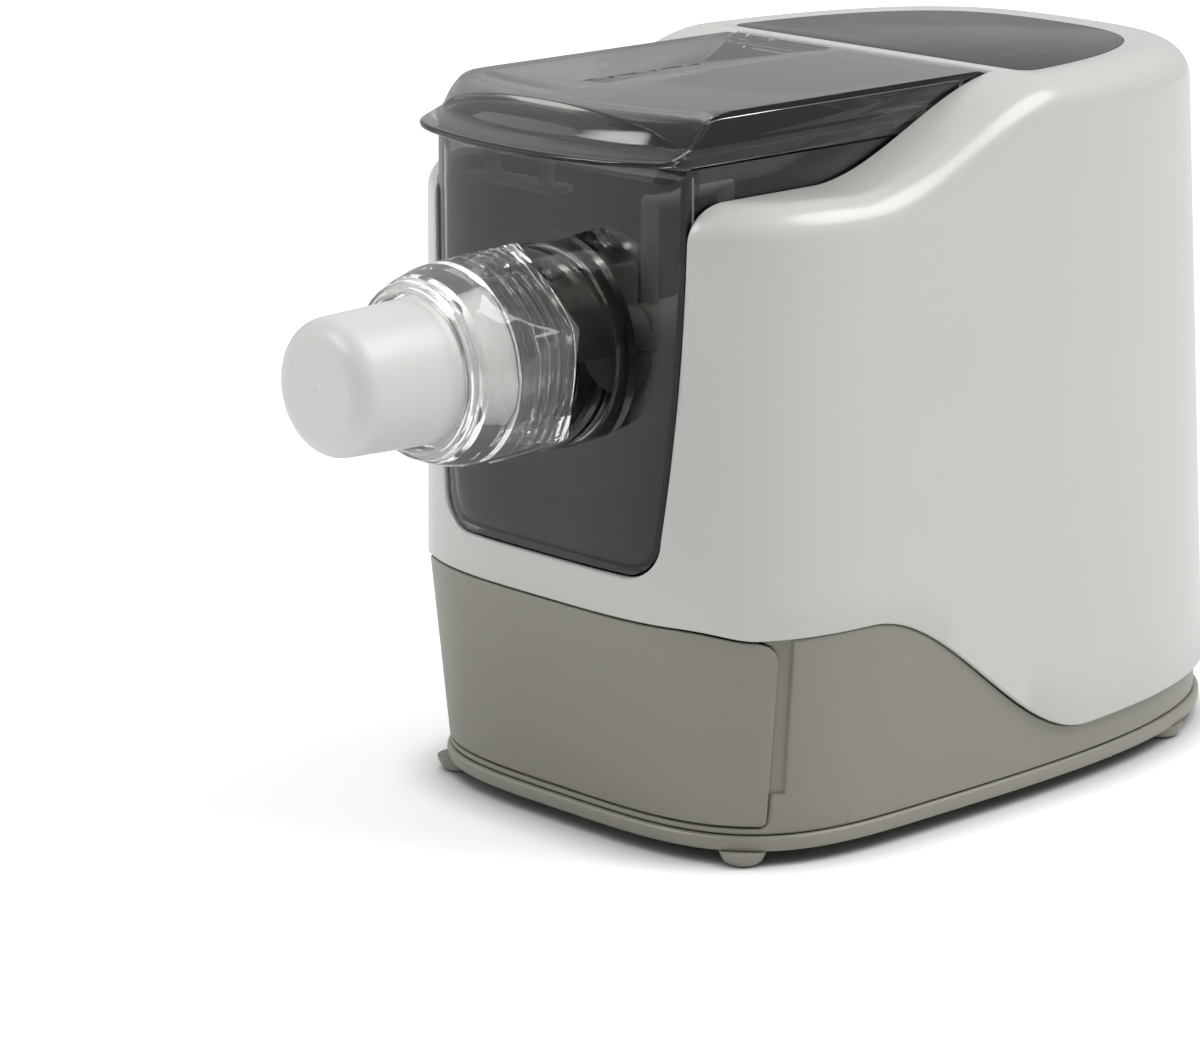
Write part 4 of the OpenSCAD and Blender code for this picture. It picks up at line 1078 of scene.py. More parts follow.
@dataclass(frozen=True)
class TurnedMetal(Finish):
    """Metal with fine lines from the lathe."""

    name: str
    colour: Colour
    low: float = 0.22
    high: float = 0.38
    drift: float = 0.12
    tone_scale: float = 40.0
    gloss_scale: float = 60.0
    line_scale: float = 1800.0
    line_strength: float = 0.25
    line_depth: float = 0.03

    def build(self) -> bpy.types.Material:
        """Builds the material.

        Returns:
            The material.
        """
        material, nodes, shader = self.start(self.name)
        colour = self.tones(nodes, self.colour, self.drift, self.tone_scale)
        nodes.tree.links.new(colour, shader.inputs["Base Color"])
        self.gloss(nodes, shader, self.low, self.high, self.gloss_scale)
        lines = self.group(nodes, self.effects.lathe_lines, Scale=self.line_scale).outputs["Value"]
        self.relief(nodes, shader, lines, self.line_strength, self.line_depth)
        shader.inputs["Metallic"].default_value = 1.0
        return material


@dataclass(frozen=True)
class CastMetal(Finish):
    """Die-cast or painted metal with a pitted skin."""

    name: str
    colour: Colour
    metallic: float = 1.0
    low: float = 0.45
    high: float = 0.65
    drift: float = 0.15
    tone_scale: float = 30.0
    gloss_scale: float = 50.0
    pit_scale: float = 500.0
    pit_strength: float = 0.5
    pit_depth: float = 0.12

    def build(self) -> bpy.types.Material:
        """Builds the material.

        Returns:
            The material.
        """
        material, nodes, shader = self.start(self.name)
        colour = self.tones(nodes, self.colour, self.drift, self.tone_scale)
        nodes.tree.links.new(colour, shader.inputs["Base Color"])
        self.gloss(nodes, shader, self.low, self.high, self.gloss_scale)
        height = self.grain_height(nodes, self.pit_scale)
        self.relief(nodes, shader, height, self.pit_strength, self.pit_depth)
        shader.inputs["Metallic"].default_value = self.metallic
        return material


@dataclass(frozen=True)
class TouchGloss(Finish):
    """Gloss surface of the touch panel with faint generic key marks."""

    name: str
    colour: Colour
    mark: Colour
    low: float = 0.14
    high: float = 0.22
    drift: float = 0.08
    tone_scale: float = 9.0
    gloss_scale: float = 18.0
    shine: float = 0.1
    grain: float = 0.04
    grain_scale: float = 700.0
    grain_depth: float = 0.02
    key_spread: float = 24.0
    key_y: float = 104.0
    keys_half: float = 2.6
    ring_r: float = 5.2
    dot_r: float = 1.1
    line_w: float = 0.55
    dash_drop: float = 13.0
    dash_half: tuple[float, float] = (4.5, 0.4)
    mark_share: float = 0.35

    def build(self) -> bpy.types.Material:
        """Builds the material.

        Returns:
            The material.
        """
        material, nodes, shader = self.start(self.name)
        colour = self.tones(nodes, self.colour, self.drift, self.tone_scale)
        marked = nodes.mix(self._marks(nodes), colour, (*self.mark, 1))
        nodes.tree.links.new(marked, shader.inputs["Base Color"])
        self.gloss(nodes, shader, self.low, self.high, self.gloss_scale)
        shader.inputs["Specular IOR Level"].default_value = self.shine
        self.relief(nodes, shader, self.grain_height(nodes, self.grain_scale), self.grain, self.grain_depth)
        return material

    def _marks(self, nodes: Nodes) -> bpy.types.NodeSocket:
        """Draws five ringed keys and a dashed line before them.

        Args:
            nodes: Helper of the material's tree.

        Returns:
            The marks' mask.
        """
        place = nodes.add("ShaderNodeTexCoord").outputs["Object"]
        axes = nodes.add("ShaderNodeSeparateXYZ", {0: place})
        x, y = axes.outputs["X"], axes.outputs["Y"]
        spread = self.key_spread * MM
        column = nodes.minus(x, nodes.times(nodes.math("ROUND", nodes.math("DIVIDE", x, spread)), spread))
        row = nodes.minus(y, (FORM.plan_y + self.key_y) * MM)
        reach = nodes.math("SQRT", nodes.plus(nodes.times(column, column), nodes.times(row, row)))
        ring = nodes.below(nodes.size(nodes.minus(reach, self.ring_r * MM)), self.line_w * 0.5 * MM)
        dot = nodes.below(reach, self.dot_r * MM)
        near = nodes.below(nodes.size(x), self.keys_half * spread)
        along, across = self.dash_half
        dash_row = nodes.below(nodes.size(nodes.plus(row, self.dash_drop * MM)), across * MM)
        dash = nodes.below(nodes.size(column), along * MM)
        lines = nodes.larger(nodes.larger(ring, dot), nodes.times(dash_row, dash))
        return nodes.times(nodes.times(lines, near), self.mark_share)


class Palette:
    """All materials of the machine, one for each material slot of the record."""

    def __init__(self) -> None:
        """Builds the shared effects and then each finish."""
        Finish.effects = Effects()
        recipes: dict[str, Finish] = {
            "shell": MouldedPlastic("satin_white_shell", (0.66, 0.66, 0.635), drift=0.03, high=0.38,
                                    grain=0.05, coat=0.4),
            "housing": MouldedPlastic("warm_grey_housing", (0.3, 0.29, 0.245), low=0.34, high=0.44,
                                      grain=0.08, coat=0.05),
            "grey_rubber": MouldedPlastic("grey_foot_rubber", (0.32, 0.31, 0.265), low=0.55, high=0.7,
                                          grain=0.3),
            "rubber": MouldedPlastic("black_seal_rubber", (0.03, 0.03, 0.03), low=0.5, high=0.65,
                                     grain=0.3),
            "steel": TurnedMetal("turned_steel", (0.62, 0.62, 0.64)),
            "panel_gloss": TouchGloss("touch_panel_gloss", (0.04, 0.042, 0.036), (0.22, 0.22, 0.2)),
            "circuit_board": MouldedPlastic("solder_mask", (0.03, 0.17, 0.07), low=0.25, high=0.4,
                                            grain=0.1),
            "dark_plastic": MouldedPlastic("dark_inner_plastic", (0.05, 0.05, 0.048), low=0.4, high=0.5,
                                           grain=0.0),
            "gearbox_metal": CastMetal("die_cast_zinc", (0.5, 0.5, 0.52)),
            "brass": TurnedMetal("sintered_bronze", (0.6, 0.4, 0.16)),
            "magnet": CastMetal("ferrite", (0.05, 0.05, 0.055), metallic=0.3),
            "smoked_plastic": SmokedPlastic("smoked_plastic", (0.36, 0.355, 0.34), (0.3, 0.3, 0.29)),
            "clear_plastic": ClearPlastic("clear_plastic", (0.9, 0.91, 0.9), (0.85, 0.86, 0.85), drift=0.02,
                                          low=0.0, high=0.015, clear=0.94),
            "white_plastic": MouldedPlastic("white_food_plastic", (0.765, 0.765, 0.75), drift=0.02,
                                            high=0.4, grain=0.06, scatter=0.15),
        }
        self.materials = {slot: recipe.build() for slot, recipe in recipes.items()}

    def dress(self, piece: bpy.types.Object, slot: str) -> None:
        """Gives a piece the only material of a slot."""
        piece.data.materials.clear()
        piece.data.materials.append(self.materials[slot])


class Part:
    """Base of the sub-assemblies: places finished pieces on their bodies."""

    palette: Palette
    made: list[str] = []

    def place(self, piece: bpy.types.Object, body: str, slot: str, *nodes: str) -> bpy.types.Object:
        """Dresses a piece, puts it on a body and lets it stand for CAD nodes.

        Args:
            piece: The finished mesh.
            body: Name of the body that it moves with.
            slot: The record's material slot.
            *nodes: CAD nodes that it replaces.

        Returns:
            The piece.
        """
        self.palette.dress(piece, slot)
        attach(piece, body)
        if nodes:
            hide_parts(*nodes)
        self.made.append(piece.name)
        LOG.info("%s: %d faces on %s", piece.name, len(piece.data.polygons), body)
        return piece


# ---------------------------------------------------------------- body


@dataclass
class WhiteShell(Part):
    """White upper shell with the bay for the chamber, the panel seat, louvres and inlet recess."""

    wall: float = 3.0
    top: float = 3.5
    roll: float = 14.0
    rim: float = 1.2
    bay_gap: float = 0.8
    bay_back: float = 59.5
    bay_edge: float = 1.3
    clear: float = 20.0
    seat: float = 1.6
    seat_gap: float = 0.25
    seat_drop: float = 10.0
    ledge: float = 5.0
    edge: float = 0.35
    inlet_z: float = 52.0
    inlet_w: float = 28.0
    inlet_h: float = 20.5
    inlet_gap: float = 0.2
    inlet_y: float = 150.0
    recess_rim: float = 3.2
    recess_depth: float = 2.0
    pad_reach: float = 30.0
    pad_rim: float = 6.0
    pad_skin: float = 1.0
    vents: int = 11
    vent_pitch: float = 6.0
    vent_w: float = 2.6
    vent_l: float = 30.0
    vent_up: float = 14.0
    vent_y: float = 170.0
    wall_rows: int = 10
    roll_rows: int = 14

    def build(self) -> None:
        """Makes the shell and puts it in place."""
        shell = self._skin()
        window = FORM.window(self.bay_gap, FORM.body_h + self.clear)
        bay = stack("bay", [upright(window, y) for y in (-FAR, self.bay_back)], End.FLAT, End.FLAT)
        combine(shell, [bay])
        soften(shell, self.bay_edge, 4, 40, 0.4)
        combine(shell, [self._pad()], "UNION")
        combine(shell, self._seats())
        soften(shell, self.edge, 2, 50)
        combine(shell, self._openings())
        self.place(smooth_shade(shell), "machine", "shell", "upper_shell")

    def _rings(self, inset: float, drop: float, radius: float, rim: float) -> list[Ring]:
        """Rings of the outer or inner skin from the seam up to the top face.

        Args:
            inset: Distance inside the outer skin.
            drop: Distance below the top face.
            radius: Radius of the roll.
            rim: Radius of the rounded lower edge.

        Returns:
            The rings, upwards.
        """
        rings = []
        if rim:
            for a in np.radians(np.linspace(0, 75, 4)):
                rings.append(FORM.seam_ring(inset + rim * (1 - math.sin(a)), rim * (1 - math.cos(a))))
        low, high = FORM.seam_ring(inset, rim), FORM.roll_ring(0, inset, drop, radius)
        rings += [low + (high - low) * i / self.wall_rows for i in range(self.wall_rows)]
        rings += [FORM.roll_ring(90 * i / self.roll_rows, inset, drop, radius)
                  for i in range(self.roll_rows + 1)]
        return rings

    def _skin(self) -> bpy.types.Object:
        """Makes the closed wall between the outer and inner skins.

        Returns:
            The wall.
        """
        outer = self._rings(0, 0, self.roll, self.rim)
        inner = self._rings(self.wall, self.top, self.roll - self.wall, 0)
        return stack("upper_shell_cover", inner[::-1] + outer)

    def _inlet_face(self) -> float:
        """Depth of the shell's back just above the inlet."""
        k = FORM.draft_share(self.inlet_z + self.inlet_h / 2 + 2)
        return FORM.plan_y + FORM.shell_rear - FORM.rear_draft * k - 0.4

    def _pad(self) -> bpy.types.Object:
        """Makes the thickened wall behind the inlet.

        Returns:
            The pad.
        """
        ends = (self.inlet_z - self.pad_reach, self.inlet_z + self.pad_reach)
        pad = stack("pad", [level(FORM.shell_at(z, self.pad_skin), z) for z in ends])
        w, h = self.inlet_w / 2 + self.pad_rim, self.inlet_h / 2 + self.pad_rim
        low = (-w, self._inlet_face() - self.pad_rim, self.inlet_z - h)
        return combine(pad, [block("keep", low, (w, FAR, self.inlet_z + h))], "INTERSECT")

    def _seats(self) -> list[bpy.types.Object]:
        """Makes the cutters of the touch panel's seat and of the opening under it.

        Returns:
            The cutters.
        """
        panel, top = TouchPanel(), FORM.body_h
        return [prism("seat", panel.outline(self.seat_gap), top - self.seat, top + self.clear),
                prism("under_seat", panel.outline(-self.ledge), top - self.seat_drop, top + self.clear - 1)]

    def _openings(self) -> list[bpy.types.Object]:
        """Makes the cutters of the mains inlet and of the louvres above it.

        Returns:
            The cutters.
        """
        z, w, h = self.inlet_z, self.inlet_w / 2, self.inlet_h / 2
        cutters = []
        for name, grow, y in (("inlet_recess", self.recess_rim, self._inlet_face() - self.recess_depth),
                              ("inlet_hole", self.inlet_gap, self.inlet_y)):
            cutters.append(block(name, (-w - grow, y, z - h - grow), (w + grow, FAR, z + h + grow)))
        low = z + h + self.vent_up
        for i in range(self.vents):
            x = (i - (self.vents - 1) / 2) * self.vent_pitch
            cutters.append(block(f"vent_{i}", (x - self.vent_w / 2, self.vent_y, low),
                                 (x + self.vent_w / 2, FAR, low + self.vent_l)))
        return cutters


@dataclass
class TouchPanel(Part):
    """Flush D-shaped touch panel behind the lid."""

    half_w: float = 81.5
    front: float = 66.5
    rear: float = 169.5
    thick: float = 1.6
    corner: float = 6.0
    edge: float = 0.35

    def outline(self, grow: float) -> np.ndarray:
        """Plan outline, grown outwards.

        Args:
            grow: Distance outside the panel.

        Returns:
            Points in X and Y.
        """
        w, r = self.half_w + grow, self.rear + grow
        y0, edge_r = FORM.plan_y + self.front - grow, self.corner + grow
        start = y0 + edge_r
        n = FORM.rear_n
        q = (1 - ((start - FORM.plan_y) / r) ** n) ** (1 / n) * w
        arc = np.radians(np.arange(-90, 0, 9))
        bend = np.column_stack([q - edge_r * (1 - np.cos(arc)), start + edge_r * np.sin(arc)])
        y = start + (FORM.plan_y + r - start) * np.sin(np.radians(np.linspace(0, 89, 40)))
        narrowed = np.maximum(0, 1 - ((y - FORM.plan_y) / r) ** n) ** (1 / n)
        half = np.vstack([bend, np.column_stack([w * narrowed, y])])
        return np.vstack([half, half[::-1] * [-1, 1]])

    def build(self) -> None:
        """Makes the panel and puts it in place."""
        top, e = FORM.body_h, self.edge
        rings = [level(self.outline(0), top - self.thick), level(self.outline(0), top - e)]
        for a in np.radians((30, 60, 90)):
            rings.append(level(self.outline(-e * (1 - math.cos(a))), top - e * (1 - math.sin(a))))
        panel = stack("touch_panel", rings, End.FLAT, End.FLAT)
        self.place(smooth_shade(panel), "machine", "panel_gloss", "control_panel")


@dataclass
class LowerHousing(Part):
    """Warm grey housing under the wavy seam, with the finger grooves beside the drawer."""

    wall: float = 3.0
    seam_gap: float = 0.8
    chamfer: float = 0.5
    groove_y: float = -71.8
    groove_depth: float = 2.2
    groove_up: float = 13.0
    groove_top: float = 110.0
    groove_lap: float = 4.0
    edge: float = 0.6
    rows: int = 8
    boss_x: float = 94.5
    boss_ys: tuple[float, ...] = (-48.5, 39.5, 104.5)
    boss_top: float = 18.5
    boss_r: float = 5.0
    boss_hole_r: float = 1.6
    boss_inset: float = 2.0

    @property
    def boss_spots(self) -> list[tuple[float, float]]:
        """Places of the screw bosses in X and Y."""
        return [(side * self.boss_x, y) for side in (-1, 1) for y in self.boss_ys]

    def skin(self, inset: float, down: float, foot: float = FORM.lip_top) -> list[Ring]:
        """Rings of the housing's skin, upwards.

        Args:
            inset: Distance inside the outer skin.
            down: Distance of the top below the seam.
            foot: Height of the lowest ring.

        Returns:
            The rings.
        """
        low = level(FORM.housing_at(foot, inset), foot)
        high = FORM.housing_top(inset, down)
        return [low + (high - low) * i / self.rows for i in range(self.rows + 1)]

    def build(self) -> None:
        """Makes the housing and puts it in place."""
        low = FORM.lip_top
        foot = level(FORM.housing_at(low, self.chamfer), low)
        rise = level(FORM.housing_at(low + self.chamfer, 0), low + self.chamfer)
        outer = self.skin(0, 0.9)
        top = [FORM.housing_top(0.15, 0.5), FORM.housing_top(0.6, 0.3)]
        inner = self.skin(self.wall, 0.3)
        housing = stack("lower_housing_cover", [foot, rise] + outer[1:] + top + inner[::-1], wrap=True)
        grooves = [self._groove(side) for side in (-1, 1)]
        combine(housing, [StorageDrawer().side_view(self.seam_gap)] + grooves)
        combine(housing, self._bosses(), "UNION")
        combine(housing, [rod("boss_hole", self.boss_hole_r, (*spot, 0), self.boss_top - 2)
                          for spot in self.boss_spots])
        gather(housing, self.groove_y, 1.2)
        soften(housing, self.edge, 2, 45, strays=True)
        self.place(smooth_shade(housing), "machine", "housing", "lower_housing")

    def _bosses(self) -> list[bpy.types.Object]:
        """Makes the screw bosses, each cut off inside the housing's skin.

        Returns:
            The bosses.
        """
        low, bosses = FORM.lip_top, []
        for spot in self.boss_spots:
            boss = rod("boss", self.boss_r, (*spot, low), self.boss_top - low)
            room = stack("limit", [level(FORM.housing_at(z, self.boss_inset), z) for z in (low, 30)])
            bosses.append(combine(boss, [room], "INTERSECT"))
        return bosses

    def _groove(self, side: int) -> bpy.types.Object:
        """Cutter of one finger groove, which follows the housing's skin upwards.

        Args:
            side: +1 or -1 for the right or left groove.

        Returns:
            The cutter.
        """
        rings = []
        drawer = StorageDrawer()
        depth = np.linspace(drawer.side_y - self.groove_lap, self.groove_y, 8)
        for z in (drawer.low_z + self.groove_up, self.groove_top):
            half_w, front = FORM.housing_reach(z)
            x = half_w * FORM.front_bow((depth - FORM.plan_y) / front)
            floor = np.column_stack([side * (x - self.groove_depth), depth])
            outside = np.column_stack([np.full(2, side * (half_w + 5)), depth[[-1, 0]]])
            rings.append(level(np.vstack([floor, outside]), z))
        return stack(f"groove_{side}", rings, End.FLAT, End.FLAT)


@dataclass
class BasePlate(Part):
    """Base plate with the rounded lip all round, and its four soft feet."""

    foot_h: float = 5.5
    base_t: float = 3.0
    rim_w: float = 7.0
    foot_r: float = 9.0
    foot_x: float = 79.4
    foot_ys: tuple[float, float] = (-80.8, 155.9)
    board_x: float = -68.0
    board_ys: tuple[float, float] = (91.5, 157.5)
    board_slot: tuple[float, float] = (-0.1, 1.7)
    board_foot: float = 12.5
    post_x: tuple[float, float] = (-3.0, 4.6)
    post_half: float = 3.0
    post_h: float = 22.0
    screw_r: float = 1.9
    screw_head_r: float = 3.6
    screw_sink: float = 2.0
    vents: int = 9
    vent_pitch: float = 9.0
    vent_w: float = 3.0
    vent_l: float = 40.0
    vent_y: float = 154.0
    edge: float = 0.3

    def build(self) -> None:
        """Makes the base plate and the feet and puts them in place."""
        plate = self._plate()
        combine(plate, self._posts(), "UNION")
        combine(plate, self._cutters())
        soften(plate, self.edge, 2, 50)
        self.place(smooth_shade(plate), "machine", "housing", "base_plate")
        self.place(smooth_shade(self._feet()), "machine", "grey_rubber", "feet")

    def _plate(self) -> bpy.types.Object:
        """Makes the plate with its lip, from a section of heights and insets.

        Returns:
            The plate.
        """
        section = ((5.5, 1.4), (5.75, 0.8), (6.2, 0.35), (7.0, 0.05), (8.0, 0.0), (10.0, 0.0),
                   (10.7, 0.15), (11.2, 0.5), (11.5, 1.1), (11.5, 2.0), (11.3, 2.3),
                   (11.3, self.rim_w - 0.4), (11.0, self.rim_w), (self.foot_h + self.base_t, self.rim_w))
        rings = [level(FORM.plan(FORM.lip_w - d, FORM.lip_front - d, FORM.lip_rear - d), z)
                 for z, d in section]
        return stack("base_plate_cover", rings)

    def _posts(self) -> list[bpy.types.Object]:
        """Makes the two posts that hold the power board.

        Returns:
            The posts.
        """
        z, half = self.foot_h + self.base_t, self.post_half
        left, right = (self.board_x + x for x in self.post_x)
        return [block(f"post_{y}", (left, y - half, z - 1), (right, y + half, z + self.post_h))
                for y in self.board_ys]

    def _cutters(self) -> list[bpy.types.Object]:
        """Makes the cutters of the screw holes, vents and the board's slot.

        Returns:
            The cutters.
        """
        cutters = []
        for spot in LowerHousing().boss_spots:
            cutters.append(rod("hole", self.screw_r, (*spot, 0), 40))
            cutters.append(rod("counterbore", self.screw_head_r, (*spot, 0), self.foot_h + self.screw_sink))
        for i in range(self.vents):
            x = (i - self.vents // 2) * self.vent_pitch
            cutters.append(block(f"vent_{i}", (x - self.vent_w / 2, self.vent_y, 0),
                                 (x + self.vent_w / 2, self.vent_y + self.vent_l, 30)))
        left, right = (self.board_x + x for x in self.board_slot)
        front, back = self.board_ys
        cutters.append(block("board_slot", (left, front - 1, self.board_foot), (right, back + 1, 60)))
        return cutters

    def _feet(self) -> bpy.types.Object:
        """Makes the four domed feet as one piece.

        Returns:
            The feet.
        """
        turn = np.linspace(0, 2 * math.pi, 48, endpoint=False)
        section = ((0.0, 4.6), (0.1, 5.4), (0.5, 6.3), (1.2, 7.1), (2.2, 7.8), (3.4, 8.4), (4.6, 8.8),
                   (5.5, self.foot_r))
        points, faces = [], []
        for side in (-1, 1):
            for y in self.foot_ys:
                start = sum(len(p) for p in points)
                for z, r in section:
                    plan = np.column_stack([side * self.foot_x + r * np.cos(turn), y + r * np.sin(turn)])
                    points.append(level(plan, z))
                faces += [[start + i for i in f] for f in grid_faces(len(section), len(turn))]
                last = start + (len(section) - 1) * len(turn)
                faces += [[start + i for i in range(len(turn))], [last + i for i in range(len(turn))]]
        return make_object("soft_feet", np.concatenate(points), faces)


@dataclass
class StorageDrawer(Part):
    """Wrap-round front of the storage drawer."""

    side_y: float = -77.0
    low_z: float = 15.0
    gap: float = 0.8
    corner: float = 8.0
    low_corner: float = 2.2
    wall: float = 3.0
    tray_front: float = -90.0
    foot_z: float = 11.0
    hollow_over: float = 9.0
    pad_half: float = 44.0
    pad_t: float = 5.0
    pad_ups: tuple[float, float] = (8.0, 40.0)
    edge: float = 0.9

    def build(self) -> None:
        """Makes the drawer front and puts it in place."""
        housing = LowerHousing()
        front = stack("drawer_front_cover", housing.skin(0, self.gap, self.foot_z))
        hollow = stack("hollow", housing.skin(self.wall, -self.hollow_over, self.foot_z))
        half, back = self.pad_half, self.tray_front - 0.1
        pads = [block(f"pad_{z}", (-half, -FAR, z), (half, back, z + self.pad_t))
                for z in (self.low_z + up for up in self.pad_ups)]
        combine(hollow, pads)
        combine(front, [self.side_view(0)], "INTERSECT")
        combine(front, [hollow])
        gather(front, self.side_y)
        soften(front, self.edge, 3, 45, 0.5)
        self.place(smooth_shade(front), "drawer", "housing", "drawer_front")

    def side_view(self, grow: float) -> bpy.types.Object:
        """Prism along X of the front's outline seen from the side.

        Args:
            grow: Distance outside the outline.

        Returns:
            The prism.
        """
        centre, low = FORM.seam_front_z - self.gap - self.corner, self.low_z + self.low_corner
        arc = np.radians(np.arange(0, 91, 7.5))
        upper = np.column_stack([self.side_y - self.corner + (self.corner + grow) * np.cos(arc),
                                 centre + (self.corner + grow) * np.sin(arc)])
        lower = np.column_stack([self.side_y - self.low_corner + (self.low_corner + grow) * np.sin(arc),
                                 low - (self.low_corner + grow) * np.cos(arc)])
        above = [[self.side_y - self.corner, FAR / 2], [-FAR, FAR / 2]]
        return bar("side_view", np.vstack([[[-FAR, self.low_z - grow]], lower, upper, above]), -FAR, FAR)


# ---------------------------------------------------------------- chamber and lid


@dataclass
class ChamberFront(Part):
    """Smoked front panel of the mixing chamber, with a bevelled band along its edge."""

    wall: float = 2.6
    tub_face: float = -96.0
    hole_r: float = 38.4
    band_w: float = 4.2
    band_depth: float = 0.45
    band_blend: float = 0.3
    band_dip: float = 0.12
    rebate: float = 2.2
    edge: float = 0.22
    count: int = 240
    rows: int = 8

    def _loop(self, grow: float) -> np.ndarray:
        """Closed outline in X and Z, grown outwards, with evenly spaced points.

        Args:
            grow: Distance by which the outline is grown.

        Returns:
            The points.
        """
        top = FORM.chamber_top + min(0.0, grow)
        side = FORM.window_side(grow, FORM.chamber_top)
        side = np.vstack([side[side[:, 1] < top - 0.01], [[FORM.window_w + grow, top]]])
        bottom, left = np.array([side[0] * [-1, 1], side[0]]), side[::-1] * [-1, 1]
        upper = np.array([side[-1], side[-1] * [-1, 1]])
        share = self.count // 8
        return np.vstack([spaced(side, 3 * share), spaced(upper, share), spaced(left, 3 * share),
                          spaced(bottom, share)])

    def _hole(self, radius: float) -> np.ndarray:
        """Circle about the drive axis, with its points in line with those of the outline.

        Args:
            radius: Radius of the circle.

        Returns:
            The points.
        """
        centre = np.array([0.0, FORM.drive_z])
        ray = self._loop(0) - centre
        return centre + radius * ray / np.linalg.norm(ray, axis=1)[:, None]

    def _between(self, first: np.ndarray, last: np.ndarray) -> list[np.ndarray]:
        """Outlines from the first towards the last, without the last."""
        return [first + (last - first) * i / self.rows for i in range(self.rows)]

    def _front(self, loop: np.ndarray, inset: float) -> Ring:
        """Lays an outline on the bowed front."""
        y = FORM.face_y(loop[:, 0], loop[:, 1], FORM.panel_recess + inset)
        return np.column_stack([loop[:, 0], y, loop[:, 1]])

    def build(self) -> None:
        """Makes the panel and puts it in place."""
        hole, field = self._hole(self.hole_r), self._loop(-self.band_w)
        rings = [self._front(loop, 0) for loop in self._between(hole, field)]
        rings.append(self._front(self._loop(-self.band_w - self.band_blend), 0))
        rings.append(self._front(self._loop(-self.band_w + self.band_blend), self.band_dip))
        rings.append(self._front(self._loop(-self.edge), self.band_depth))
        for a in np.radians((30, 60, 90)):
            inset = self.band_depth + self.edge * (1 - math.cos(a))
            rings.append(self._front(self._loop(-self.edge * (1 - math.sin(a))), inset))
        rings.append(upright(self._loop(0), self.tub_face - 0.1))
        rings.append(upright(self._loop(-self.wall), self.tub_face - 0.1))
        rings.append(self._front(self._loop(-self.wall), self.wall + self.rebate))
        rings.append(self._front(self._loop(-self.wall - 1.2), self.wall + 0.5))
        rings += [self._front(loop, self.wall) for loop in self._between(self._loop(-self.wall - 3), hole)]
        rings.append(self._front(hole, self.wall))
        panel = stack("front_window", rings, wrap=True)
        self.place(smooth_shade(panel, 24), "chamber", "smoked_plastic", "front_panel")


